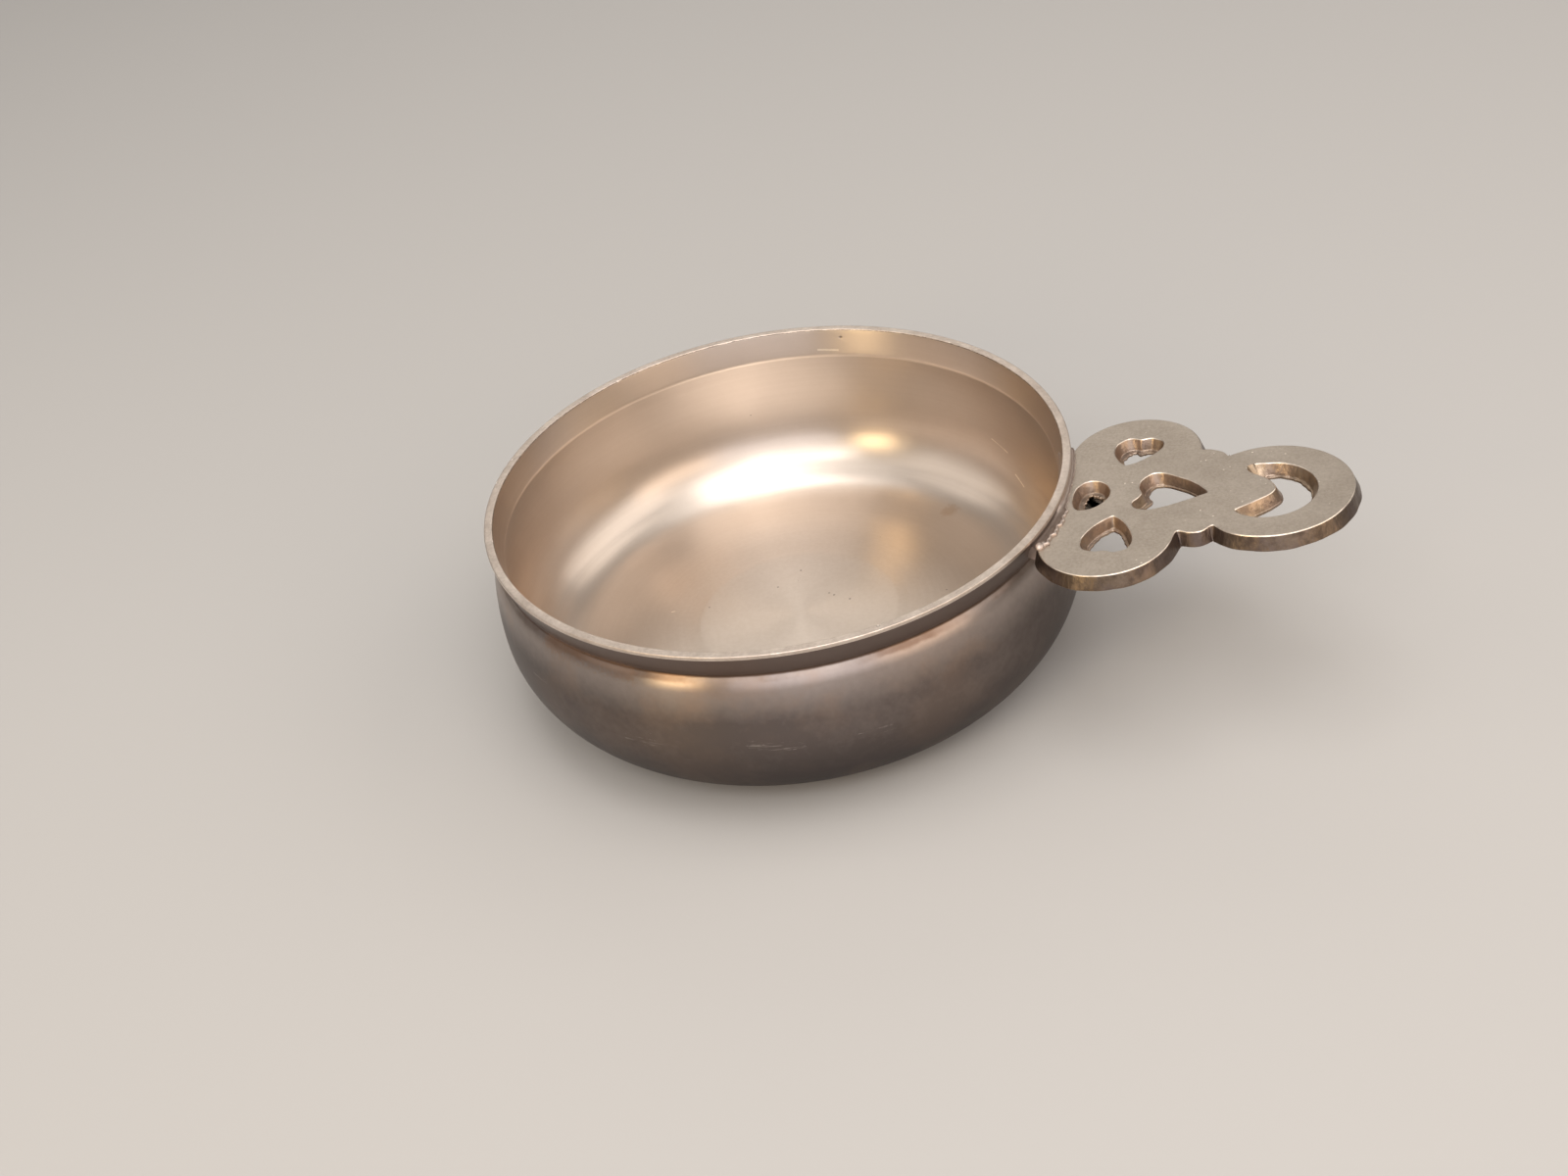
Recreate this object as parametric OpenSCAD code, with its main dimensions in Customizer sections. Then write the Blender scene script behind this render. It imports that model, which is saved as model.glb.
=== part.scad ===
// Pewter porringer: a bellied bowl with one flat, pierced handle soldered to its collar.
// Millimetres, +Z up. The origin is on the bowl's axis, on the surface it stands on,
// and the handle points along +X.

/* [Lip and collar] */
// Outer diameter of the lip
lip_d = 120; // [104:0.5:136]
// Width of the flat top of the lip
lip_w = 1.7; // [1.3:0.1:2.4]
// Height of the lip's upright outer edge
lip_edge = 0.8; // [0.4:0.1:1.4]
// Height of the lip above the standing surface
bowl_h = 41.5; // [39:0.5:44]
// Height of the drawn-in collar, from the lip down to its foot on the belly
neck_h = 5.6; // [4.6:0.1:7]
// How far below the collar's foot the ridge lies that runs round the inside
ridge_drop = 0.5; // [0.2:0.1:1.5]

/* [Belly] */
// How far the belly stands out past the lip
belly_out = 1.3; // [0.8:0.1:2.2]
// Radius of the belly's lower curve
belly_round = 21.5; // [19:0.5:23]
// Radius of the belly's long upper curve
side_round = 42; // [38:1:70]
// Radius of the shoulder where the belly turns in to the collar
shoulder_round = 3.5; // [2:0.1:5]
// How far the shoulder takes the belly in at the collar's foot
shoulder_in = 0.2; // [0.1:0.05:0.5]
// Thickness of the belly's wall
wall = 1.5; // [1.3:0.1:2.2]

/* [Floor and foot] */
// How deep the flat foot ring is cut into the belly's curve
foot_cut = 0.65; // [0.3:0.05:1]
// Inner diameter of the foot ring
foot_inner_d = 78; // [70:1:82]
// Depth of the recess inside the foot ring
foot_recess = 1.3; // [0.8:0.1:2]
// Thickness of the floor between belly and boss
floor_t = 1.9; // [1.5:0.1:3]
// Diameter of the low boss in the middle of the floor
boss_d = 43.6; // [36:0.2:50]
// Height of the boss above the floor around it
boss_rise = 2.1; // [0.8:0.1:3]
// Width of the boss's sloping edge
boss_slope = 3.2; // [1.5:0.1:5]
// Thickness of the metal in the boss
boss_t = 2.4; // [1.8:0.1:3]

/* [Handle plate] */
// Thickness of the handle
plate_t = 2.9; // [2.2:0.1:3.6]
// How far the handle's upper face lies below the lip
plate_drop = 2; // [1:0.1:2.6]
// How steeply the handle rises away from the bowl, in degrees
plate_rise = 5; // [0:0.5:10]
// How much wider the outline is at the lower face than at the upper
edge_draft = 1; // [0.2:0.1:1.6]
// Distance from the bowl's lip to the middle of the side lobes
lobe_out = 11.3; // [8:0.1:13]
// Distance from the handle's centre line to the middle of each side lobe
lobe_side = 13.6; // [11:0.1:16]
// Radius of the side lobes
lobe_r = 12.7; // [10.5:0.1:14]
// Distance from the lip to the middle of the small bumps at the waist
bump_out = 25.2; // [24:0.1:27]
// Distance from the centre line to the middle of each bump
bump_side = 10; // [8:0.1:11]
// Radius of the bumps
bump_r = 4.1; // [3.2:0.1:5]
// Distance from the lip to the middle of the round end
ring_out = 38.7; // [37.5:0.1:40]
// Radius of the round end
ring_r = 15; // [13:0.1:17]

/* [Piercings] */
// How much narrower the hearts and the crescent are at the lower face than at the upper
hole_draft = 1.2; // [0.2:0.1:1.5]
// Distance from the lip to the middle of the round hole
eye_out = 5; // [4.8:0.1:6]
// How far the round hole's middle lies to the -Y side of the centre line
eye_side = 0.6; // [0:0.1:1]
// Radius of the round hole
eye_r = 3.7; // [3:0.1:3.8]
// How much longer than wide the round hole is, across the handle
eye_stretch = 2.5; // [0.5:0.1:3]
// How much narrower the round hole is at the lower face than at the upper
eye_draft = 1.5; // [0.2:0.1:1.8]
// Radius of the two lobes of a heart in a side lobe
small_heart_r = 2.8; // [2.5:0.1:3]
// Width of a heart in a side lobe
small_heart_w = 9.7; // [8.5:0.1:10.5]
// Length of the heart on the -Y side, from the middle of its lobes to its tip
near_heart_l = 8.7; // [7:0.1:9.2]
// Length of the heart on the +Y side, from the middle of its lobes to its tip
far_heart_l = 7.5; // [7:0.1:9.2]
// Radius of the bowed sides of those hearts
small_heart_bow = 10.6; // [9.5:0.1:16]
// Distance from the lip to the middle of the hearts in the side lobes
small_heart_out = 10.9; // [10:0.1:11.6]
// Distance from the centre line to the lobes of those hearts
small_heart_side = 16.5; // [15.5:0.1:17.5]
// Radius of the two lobes of the middle heart
mid_heart_r = 3.4; // [2.8:0.1:3.6]
// Width of the middle heart
mid_heart_w = 12.6; // [11:0.1:13]
// Length of the middle heart, from the middle of its lobes to its tip
mid_heart_l = 10.6; // [9:0.1:12]
// Radius of the bowed sides of the middle heart
mid_heart_bow = 17; // [12:0.5:30]
// Distance from the lip to the lobes of the middle heart
mid_heart_out = 16.6; // [15.8:0.1:17.5]
// How far the lobes of a heart stand out past its bowed sides
lobe_step = 0.1; // [0.05:0.01:0.2]
// Distance from the lip to the middle of the crescent's outer curve
moon_out = 38.2; // [37.5:0.1:39]
// Radius of the crescent's outer curve
moon_r = 9; // [7.5:0.1:10]
// Radius of the crescent's inner curve
moon_cut_r = 6.3; // [5.5:0.1:7]
// How far the inner curve is set back towards the bowl
moon_set = 5.2; // [4:0.1:6]

/* [Solder] */
// Width of the solder between the collar and the handle's root
seam_w = 0.6; // [0.3:0.1:1]
// Radius of the hollow faces of the solder
seam_hollow = 1.5; // [1:0.1:2]
// How far the solder runs past the handle's root at each side, in degrees
seam_run = 0.6; // [0:0.1:2]

/* [Hidden] */
$fn = 180;
// A cut runs this far past the surface that it opens
past = 1;
// How far the shoulder stands out past the curve that it meets
shoulder_step = 0.01;

lip_r = lip_d / 2;
belly_r = lip_r + belly_out;
// Height of the belly's widest line
waist_z = belly_round - foot_cut;
// Middle of the long upper curve
side_x = belly_r - side_round;
// The collar's foot lies a little inside that curve
neck_z = bowl_h - neck_h;
neck_r = side_x + sqrt(pow(side_round, 2) - pow(neck_z - waist_z, 2)) - shoulder_in;

// Middle of the shoulder's curve, which runs through the collar's foot and meets the
// long upper curve from inside, standing out past it by shoulder_step
foot_dir = [neck_r - side_x, neck_z - waist_z] / norm([neck_r - side_x, neck_z - waist_z]);
foot_far = norm([neck_r - side_x, neck_z - waist_z]);
shoulder_far = side_round - shoulder_round + shoulder_step;
shoulder_along = (pow(shoulder_far, 2) - pow(shoulder_round, 2) + pow(foot_far, 2)) / (2 * foot_far);
shoulder_across = sqrt(max(0, pow(shoulder_far, 2) - pow(shoulder_along, 2)));
shoulder_x = side_x + shoulder_along * foot_dir[0] + shoulder_across * foot_dir[1];
shoulder_z = waist_z + shoulder_along * foot_dir[1] - shoulder_across * foot_dir[0];
// Height at which the two curves meet
shoulder_touch_z = waist_z + side_round * sin(atan2(shoulder_z - waist_z, shoulder_x - side_x));

// The ridge inside, where the collar's slope meets the hollow of the belly
ridge_z = neck_z - ridge_drop;
ridge_r = side_x + sqrt(pow(side_round - wall, 2) - pow(ridge_z - waist_z, 2));

floor_z = foot_recess + floor_t;
boss_z = floor_z + boss_rise;
boss_r = boss_d / 2;
foot_inner_r = foot_inner_d / 2;
foot_slope = foot_recess;
boss_under_z = boss_z - boss_t;

plate_z = bowl_h - plate_drop;
// The handle's root and the outside of the solder lie on this radius
root_r = lip_r + seam_w;
// Half the angle that the wider, lower outline of the root takes up on the collar
lobe_far = norm([lip_r + lobe_out, lobe_side]);
lobe_low_r = lobe_r + edge_draft;
root_cos = (root_r * root_r + lobe_far * lobe_far - lobe_low_r * lobe_low_r) / (2 * root_r * lobe_far);
root_half = atan2(lobe_side, lip_r + lobe_out) + acos(min(1, root_cos));

// A cone that stands from the plate's lower face to its upper face
module drafted(low_r, top_r) {
    cylinder(h = plate_t, r1 = low_r, r2 = top_r);
}

// The same as a cutter, which runs on past both faces at the same slope
module drafted_cut(low_r, top_r) {
    grow = (top_r - low_r) * past / plate_t;
    translate([0, 0, -past])
        cylinder(h = plate_t + 2 * past, r1 = low_r - grow, r2 = top_r + grow);
}

// One side of a belly's section, filled in to the axis
module belly_section(r, low_round, long_round, bottom_z, top_z) {
    translate([0, bottom_z])
        square([r - low_round, top_z - bottom_z]);
    intersection() {
        translate([r - low_round, waist_z])
            circle(r = low_round);
        translate([0, bottom_z])
            square([r, waist_z - bottom_z]);
    }
    intersection() {
        translate([r - long_round, waist_z])
            circle(r = long_round);
        translate([0, waist_z])
            square([r, top_z - waist_z]);
    }
}

// The outside of the bowl: belly, shoulder, collar and lip
module outer_section() {
    belly_section(belly_r, belly_round, side_round, 0, shoulder_touch_z);
    translate([shoulder_x, shoulder_z])
        circle(r = shoulder_round);
    polygon([
        [0, shoulder_z],
        [shoulder_x, shoulder_z],
        [neck_r, neck_z],
        [lip_r, bowl_h - lip_edge],
        [lip_r, bowl_h],
        [0, bowl_h]
    ]);
}

// The inside of the bowl, which follows the outside at the wall's thickness
module inner_section() {
    mouth_r = lip_r - lip_w;
    difference() {
        belly_section(belly_r - wall, belly_round - wall, side_round - wall, floor_z, ridge_z + past);
        polygon([
            [-past, floor_z - past],
            [boss_r + boss_slope, floor_z - past],
            [boss_r + boss_slope, floor_z],
            [boss_r, boss_z],
            [-past, boss_z]
        ]);
    }
    polygon([
        [0, ridge_z - past],
        [ridge_r - past * (mouth_r - ridge_r) / (bowl_h - ridge_z), ridge_z - past],
        [mouth_r, bowl_h],
        [mouth_r, bowl_h + past],
        [0, bowl_h + past]
    ]);
}

// The hollow of the underside, in two steps: inside the foot ring and under the boss
module under_section() {
    polygon([
        [0, -past],
        [foot_inner_r, -past],
        [foot_inner_r, 0],
        [foot_inner_r - foot_slope, foot_recess],
        [boss_r + boss_slope - boss_t / 2, foot_recess],
        [boss_r - boss_t / 2, boss_under_z],
        [0, boss_under_z]
    ]);
}

// Half plane of the sections: everything at or outside the axis
module beside_axis() {
    translate([0, -past])
        square([belly_r + past, bowl_h + 3 * past]);
}

module bowl() {
    color("#a39487")
        rotate_extrude()
            intersection() {
                difference() {
                    outer_section();
                    inner_section();
                    under_section();
                }
                beside_axis();
            }
}

// Middle of the circle that forms the +X side of a heart. It passes through the tip at
// [0, -tip] and cuts the lobe at [lobe_x, 0] so that the lobe stands out past it by lobe_step.
function heart_side(bow_r, lobe_x, lobe_radius, tip) =
    let (
        reach = bow_r - lobe_radius + lobe_step,
        span = norm([lobe_x, tip]),
        along = (bow_r * bow_r - reach * reach + span * span) / (2 * span),
        across = sqrt(max(0, bow_r * bow_r - along * along)),
        dir = [lobe_x, tip] / span
    )
    [0, -tip] + along * dir + across * [-dir[1], dir[0]];

// A heart-shaped cutter, tip along -Y, with the middle of its lobes on the X axis
module heart_cut(lobe_radius, width, tip, bow_r) {
    lobe_x = width / 2 - lobe_radius;
    bow_mid = heart_side(bow_r, lobe_x, lobe_radius, tip);
    for (side = [-1, 1])
        translate([side * lobe_x, 0, 0])
            drafted_cut(lobe_radius - hole_draft, lobe_radius);
    intersection() {
        translate([bow_mid[0], bow_mid[1], 0])
            drafted_cut(bow_r - hole_draft, bow_r);
        translate([-bow_mid[0], bow_mid[1], 0])
            drafted_cut(bow_r - hole_draft, bow_r);
        translate([-width, -2 * tip, -past])
            cube([2 * width, 2 * tip, plate_t + 2 * past]);
    }
}

// The round hole's cutter: a drafted slot, two cones joined by a straight run across
module eye_cut() {
    low_r = eye_r - eye_draft;
    grow = eye_draft * past / plate_t;
    for (side = [-1, 1])
        translate([0, side * eye_stretch / 2, 0])
            drafted_cut(low_r, eye_r);
    translate([0, eye_stretch / 2, 0])
        rotate([90, 0, 0])
            linear_extrude(eye_stretch)
                polygon([
                    [-low_r + grow, -past],
                    [low_r - grow, -past],
                    [eye_r + grow, plate_t + past],
                    [-eye_r - grow, plate_t + past]
                ]);
}

// The handle's body before it is pierced, lying flat, with the lip at x = lip_r
module plate_blank() {
    for (side = [-1, 1]) {
        translate([lip_r + lobe_out, side * lobe_side, 0])
            drafted(lobe_low_r, lobe_r);
        translate([lip_r + bump_out, side * bump_side, 0])
            drafted(bump_r + edge_draft, bump_r);
    }
    translate([lip_r + ring_out, 0, 0])
        drafted(ring_r + edge_draft, ring_r);
    // The middle, which the lobes, bumps and round end close in on every side
    linear_extrude(plate_t)
        polygon([
            [lip_r - lobe_side, -lobe_side],
            [lip_r + lobe_out, -lobe_side],
            [lip_r + bump_out, -bump_side],
            [lip_r + ring_out, 0],
            [lip_r + bump_out, bump_side],
            [lip_r + lobe_out, lobe_side],
            [lip_r - lobe_side, lobe_side]
        ]);
}

// All openings of the handle
module piercings() {
    translate([lip_r + eye_out, -eye_side, 0])
        eye_cut();
    translate([lip_r + small_heart_out, small_heart_side, 0])
        heart_cut(small_heart_r, small_heart_w, far_heart_l, small_heart_bow);
    translate([lip_r + small_heart_out, -small_heart_side, 0])
        rotate(180)
            heart_cut(small_heart_r, small_heart_w, near_heart_l, small_heart_bow);
    translate([lip_r + mid_heart_out, 0, 0])
        rotate(90)
            heart_cut(mid_heart_r, mid_heart_w, mid_heart_l, mid_heart_bow);
    // The crescent: a round cutter less the tongue that points away from the bowl
    translate([lip_r + moon_out, 0, 0])
        difference() {
            drafted_cut(moon_r - hole_draft, moon_r);
            translate([-moon_set, 0, 0])
                drafted_cut(moon_cut_r + hole_draft, moon_cut_r);
        }
}

// Places what lies flat at the handle's height and tilt, turned about the lip
module at_handle() {
    translate([lip_r, 0, plate_z])
        rotate([0, -plate_rise, 0])
            translate([-lip_r, 0, -plate_t])
                children();
}

module handle() {
    color("#a89a8c")
        difference() {
            at_handle()
                difference() {
                    plate_blank();
                    piercings();
                }
            // The root is hollowed to the collar, less the width of the solder
            translate([0, 0, -past])
                cylinder(h = bowl_h + lip_d, r = root_r);
        }
}

// Section of the solder: a bar from the collar to the root, with a hollow face above
module solder_section() {
    bar_r = neck_r - past;
    low_z = plate_z - plate_t;
    difference() {
        translate([bar_r, low_z])
            square([root_r - bar_r, plate_t + seam_hollow]);
        translate([root_r, plate_z + seam_hollow])
            circle(r = seam_hollow);
        outer_section();
    }
}

module solder_seam() {
    half = root_half + seam_run;
    color("#b39c8e")
        rotate([0, 0, -half])
            rotate_extrude(angle = 2 * half)
                solder_section();
}

bowl();
handle();
solder_seam();
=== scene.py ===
"""Dresses the pewter porringer: a turned bowl, a pierced cast handle and their solder.

Lengths of the pieces are written in millimetres and made metres by MM. The frame is the
CAD model's: +Z up from the standing surface, +X along the handle. PER_M is a metre in
millimetres, MEAN_RADIUS the bowl's own, WELD the gap under which points are merged and NEAR
the distance at which a point counts as lying at a place.
"""

import logging
import math
from dataclasses import dataclass
from enum import Enum
from typing import Callable

import bpy
import numpy as np
from mathutils import Matrix, Vector


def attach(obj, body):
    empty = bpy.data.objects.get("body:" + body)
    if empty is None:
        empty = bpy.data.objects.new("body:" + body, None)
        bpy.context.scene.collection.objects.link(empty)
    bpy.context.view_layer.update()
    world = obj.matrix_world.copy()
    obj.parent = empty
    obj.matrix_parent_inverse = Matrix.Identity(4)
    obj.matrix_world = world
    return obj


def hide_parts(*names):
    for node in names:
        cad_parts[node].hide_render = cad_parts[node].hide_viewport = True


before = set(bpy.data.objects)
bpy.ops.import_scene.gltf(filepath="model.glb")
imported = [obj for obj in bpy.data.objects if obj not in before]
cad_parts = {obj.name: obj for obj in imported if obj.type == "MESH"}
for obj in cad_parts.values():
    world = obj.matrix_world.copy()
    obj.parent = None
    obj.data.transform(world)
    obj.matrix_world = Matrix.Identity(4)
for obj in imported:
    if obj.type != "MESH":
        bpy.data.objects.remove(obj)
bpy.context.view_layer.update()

MM = 0.001
PER_M = 1000.0
MEAN_RADIUS = 60.0
WELD = 0.002
NEAR = 0.01
log = logging.getLogger("porringer")

Point = tuple[float, float]
Spot = tuple[float, float, float]
Ring = list[Point]
Levels = list[tuple[Ring, float]]
Colour = tuple[float, float, float]


# Drawing: lines and rings in a plane, in millimetres. A worn point is the mean of those about
# it, within SPREADS of its roundness, and a corner's wear fades out over FADE_OVER of it.

FINER = 8
SPREADS = 3
EVEN_WEAR = 0.02
FADE_FROM, FADE_OVER = 1.6, 2.2


def arc(middle: Point, radius: float, start: float, end: float, count: int = 24) -> Ring:
    """Points on an arc.

    Args:
        middle: The arc's centre.
        radius: Its radius.
        start: The angle of the first point, in degrees.
        end: The angle of the last point, in degrees.
        count: The number of points.

    Returns:
        The points in order.
    """
    angles = np.radians(np.linspace(start, end, count))
    return [(middle[0] + radius * math.cos(a), middle[1] + radius * math.sin(a)) for a in angles]


def meet(first: Point, first_r: float, second: Point, second_r: float, side: int) -> Point:
    """One of the two points where two circles cross.

    Args:
        first: Centre of the first circle.
        first_r: Its radius.
        second: Centre of the second circle.
        second_r: Its radius.
        side: 1 for the crossing on the left of the way from first to second, -1 for the other.

    Returns:
        The crossing.
    """
    way = np.subtract(second, first)
    far = float(np.hypot(*way))
    along = (first_r**2 - second_r**2 + far**2) / (2 * far)
    across = math.sqrt(max(0.0, first_r**2 - along**2))
    way = way / far
    spot = np.add(first, along * way) + side * across * np.array([-way[1], way[0]])
    return float(spot[0]), float(spot[1])


def angle_to(middle: Point, spot: Point) -> float:
    """The angle from a circle's centre to a point, in degrees."""
    return math.degrees(math.atan2(spot[1] - middle[1], spot[0] - middle[0]))


def respaced(line: Ring, count: int, closed: bool) -> np.ndarray:
    """The same line with its points evenly spaced.

    Args:
        line: The points.
        count: The number of points wanted.
        closed: True for a ring, whose last point isn't its first.

    Returns:
        The points as an array of count rows.
    """
    points = np.array(line + [line[0]] if closed else line, float)
    along = np.r_[0.0, np.cumsum(np.hypot(*np.diff(points, axis=0).T))]
    at = np.linspace(0.0, along[-1], count, endpoint=not closed)
    return np.stack([np.interp(at, along, points[:, k]) for k in (0, 1)], axis=1)


def as_ring(points: np.ndarray) -> Ring:
    """An array of points as a ring."""
    return [tuple(point) for point in points.tolist()]


def evenly_round(count: int) -> np.ndarray:
    """Angles evenly spaced round a ring, in radians."""
    return np.linspace(0, 2 * np.pi, count, endpoint=False)


def rounded_ring(ring: Ring, roundness: float, count: int) -> Ring:
    """A ring with its corners worn round.

    Args:
        ring: The sharp ring.
        roundness: How far along the ring each point is averaged, in millimetres.
        count: The number of points of the result.

    Returns:
        The rounded ring.
    """
    fine = respaced(ring, count * FINER, closed=True)
    step = float(np.hypot(*(fine[1] - fine[0])))
    reach = max(1, int(SPREADS * roundness / step))
    offsets = np.arange(-reach, reach + 1)
    weights = np.exp(-0.5 * (offsets * step / roundness) ** 2)
    weights /= weights.sum()
    soft = sum(w * np.roll(fine, -int(o), axis=0) for w, o in zip(weights, offsets))
    return as_ring(soft[::FINER])


def scaled_ring(ring: Ring, inset: float) -> Ring:
    """A ring drawn in towards its middle by about inset on each side."""
    points = np.array(ring)
    middle = (points.max(axis=0) + points.min(axis=0)) / 2
    half = (points.max(axis=0) - points.min(axis=0)) / 2
    return as_ring(middle + (points - middle) * (1 - inset / half))


def worn_section(
    line: Ring,
    corners: list[tuple[Point, float]],
    step: float = 0.04,
    bend: float = 3.5,
    run: float = 1.3,
) -> Ring:
    """A section with its corners worn round, thinned to the points that its bends need.

    Args:
        line: The sharp section.
        corners: The places that are rounder than the rest, each with its roundness.
        step: The spacing at which the wear is worked out.
        bend: How far the line may turn between two kept points, in degrees.
        run: How far it may run between them.

    Returns:
        The worn section.
    """
    length = float(np.hypot(*np.diff(np.array(line), axis=0).T).sum())
    fine = respaced(line, int(length / step), closed=False)
    reach = np.full(len(fine), EVEN_WEAR)
    for spot, roundness in corners:
        nearest = int(np.argmin(np.hypot(*(fine - spot).T)))
        away = np.abs(np.arange(len(fine)) - nearest) * step
        share = np.clip(FADE_FROM - away / (FADE_OVER * roundness), 0, 1)
        reach = np.maximum(reach, roundness * share)
    soft = fine.copy()
    for k in range(1, len(fine) - 1):
        width = int(SPREADS * reach[k] / step)
        low, high = max(0, k - width), min(len(fine), k + width + 1)
        weights = np.exp(-0.5 * ((np.arange(low, high) - k) * step / reach[k]) ** 2)
        soft[k] = (fine[low:high] * weights[:, None]).sum(axis=0) / weights.sum()
    turn = np.unwrap(np.arctan2(*np.diff(soft, axis=0).T[::-1]))
    kept, last_turn, gone = [0], turn[0], 0.0
    for k in range(1, len(soft) - 1):
        gone += step
        if abs(turn[k] - last_turn) > math.radians(bend) or gone > run:
            kept.append(k)
            last_turn, gone = turn[k], 0.0
    return as_ring(soft[[*kept, len(soft) - 1]])


# Modelling by hand: operators on one piece at a time


def lay_down_tools() -> None:
    """Goes back to object mode with nothing selected."""
    if bpy.context.object and bpy.context.object.mode != "OBJECT":
        bpy.ops.object.mode_set(mode="OBJECT")
    bpy.ops.object.select_all(action="DESELECT")


def take_up(piece: bpy.types.Object) -> None:
    """Makes a piece the only selected and the active one."""
    lay_down_tools()
    piece.select_set(True)
    bpy.context.view_layer.objects.active = piece


def open_mesh(piece: bpy.types.Object) -> None:
    """Goes into edit mode on a piece with nothing selected."""
    take_up(piece)
    bpy.ops.object.mode_set(mode="EDIT")
    bpy.ops.mesh.select_mode(type="VERT")
    bpy.ops.mesh.select_all(action="DESELECT")


def open_whole(piece: bpy.types.Object) -> None:
    """Goes into edit mode on a piece with everything selected."""
    open_mesh(piece)
    bpy.ops.mesh.select_all(action="SELECT")


def weld(piece: bpy.types.Object) -> None:
    """Merges a piece's doubles, and stays in edit mode."""
    open_whole(piece)
    bpy.ops.mesh.remove_doubles(threshold=WELD * MM)


def modified(piece: bpy.types.Object, kind: str, **settings: object) -> None:
    """Gives a piece a modifier and applies it.

    Args:
        piece: The piece.
        kind: The modifier's type.
        **settings: Its settings by name.
    """
    take_up(piece)
    modifier = piece.modifiers.new(kind.title(), kind)
    for name, value in settings.items():
        setattr(modifier, name, value)
    bpy.ops.object.modifier_apply(modifier=modifier.name)


def new_line(name: str, points: list[Vector]) -> bpy.types.Object:
    """Draws a line by extruding one vertex from point to point.

    Args:
        name: The new piece's name.
        points: The points in millimetres.

    Returns:
        The piece, in object mode.
    """
    lay_down_tools()
    bpy.ops.mesh.primitive_plane_add(size=MM, location=points[0] * MM)
    piece = bpy.context.object
    piece.name = name
    bpy.ops.object.mode_set(mode="EDIT")
    bpy.ops.mesh.select_mode(type="VERT")
    bpy.ops.mesh.select_all(action="SELECT")
    bpy.ops.mesh.merge(type="CENTER")
    for here, there in zip(points, points[1:]):
        bpy.ops.mesh.extrude_region_move(TRANSFORM_OT_translate={"value": (there - here) * MM})
    lay_down_tools()
    settle(piece)
    return piece


def settle(piece: bpy.types.Object) -> None:
    """Puts a piece's place, turn and scale into its mesh."""
    take_up(piece)
    bpy.ops.object.transform_apply(location=True, rotation=True, scale=True)


def face_outwards(piece: bpy.types.Object) -> None:
    """Merges a closed piece's doubles and turns its faces outwards."""
    weld(piece)
    bpy.ops.mesh.normals_make_consistent(inside=False)
    lay_down_tools()


def turned(
    name: str, section: Ring, steps: int, start: float = 0, sweep: float = 360
) -> bpy.types.Object:
    """Spins a section about the bowl's axis.

    Args:
        name: The new piece's name.
        section: Radius and height of each point.
        steps: The number of steps round.
        start: The angle at which the section is drawn, in degrees.
        sweep: The angle that it is turned through, in degrees.

    Returns:
        The turned piece.
    """
    place = Matrix.Rotation(math.radians(start), 3, "Z")
    piece = new_line(name, [place @ Vector((r, 0, z)) for r, z in section])
    open_whole(piece)
    bpy.ops.mesh.spin(steps=steps, angle=math.radians(sweep), center=(0, 0, 0), axis=(0, 0, -1))
    lay_down_tools()
    return piece


def lofted(name: str, levels: Levels) -> bpy.types.Object:
    """A solid through rings of the same number of points, each above the one before.

    Args:
        name: The new piece's name.
        levels: Each ring with its height, from the lowest up.

    Returns:
        The closed solid.
    """
    rings = []
    for ring, z in levels:
        part = new_line(name, [Vector((x, y, z)) for x, y in ring + [ring[0]]])
        weld(part)
        rings.append(part)
    take_up(rings[0])
    for part in rings[1:]:
        part.select_set(True)
    bpy.ops.object.join()
    piece = rings[0]
    heights = [z for _, z in levels]
    for pair in zip(heights, heights[1:]):
        select_corners(piece, lambda co, pair=pair: at_height(co, *pair))
        bpy.ops.mesh.select_mode(type="EDGE")
        bpy.ops.mesh.bridge_edge_loops()
    for end in (heights[0], heights[-1]):
        select_corners(piece, lambda co, end=end: at_height(co, end))
        bpy.ops.mesh.edge_face_add()
    face_outwards(piece)
    return piece


def at_height(corner: Vector, *heights: float) -> bool:
    """True if a vertex lies at one of the heights."""
    return any(abs(corner.z - height * MM) < NEAR * MM for height in heights)


def select_corners(piece: bpy.types.Object, test: Callable[[Vector], bool]) -> None:
    """Selects the vertices that pass a test on their place, and stays in edit mode."""
    open_mesh(piece)
    bpy.ops.object.mode_set(mode="OBJECT")
    for corner in piece.data.vertices:
        corner.select = test(corner.co)
    bpy.ops.object.mode_set(mode="EDIT")


def combine(piece: bpy.types.Object, operation: str, other: bpy.types.Object) -> None:
    """Takes another shape out of a piece, or adds it, and throws the other away."""
    modified(piece, "BOOLEAN", operation=operation, solver="EXACT", object=other)
    bpy.data.objects.remove(other, do_unlink=True)


def shade(piece: bpy.types.Object, angle: float) -> None:
    """Shades a piece smooth across edges flatter than an angle in degrees."""
    take_up(piece)
    bpy.ops.object.shade_smooth_by_angle(angle=math.radians(angle))
    lay_down_tools()


# Finishes: effects that several metals share are node groups, the shaders are the metals' own

Socket = bpy.types.NodeSocket
ACROSS = 0.25  # the quarter turn that lays a highlight across the lathe's grooves


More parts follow.
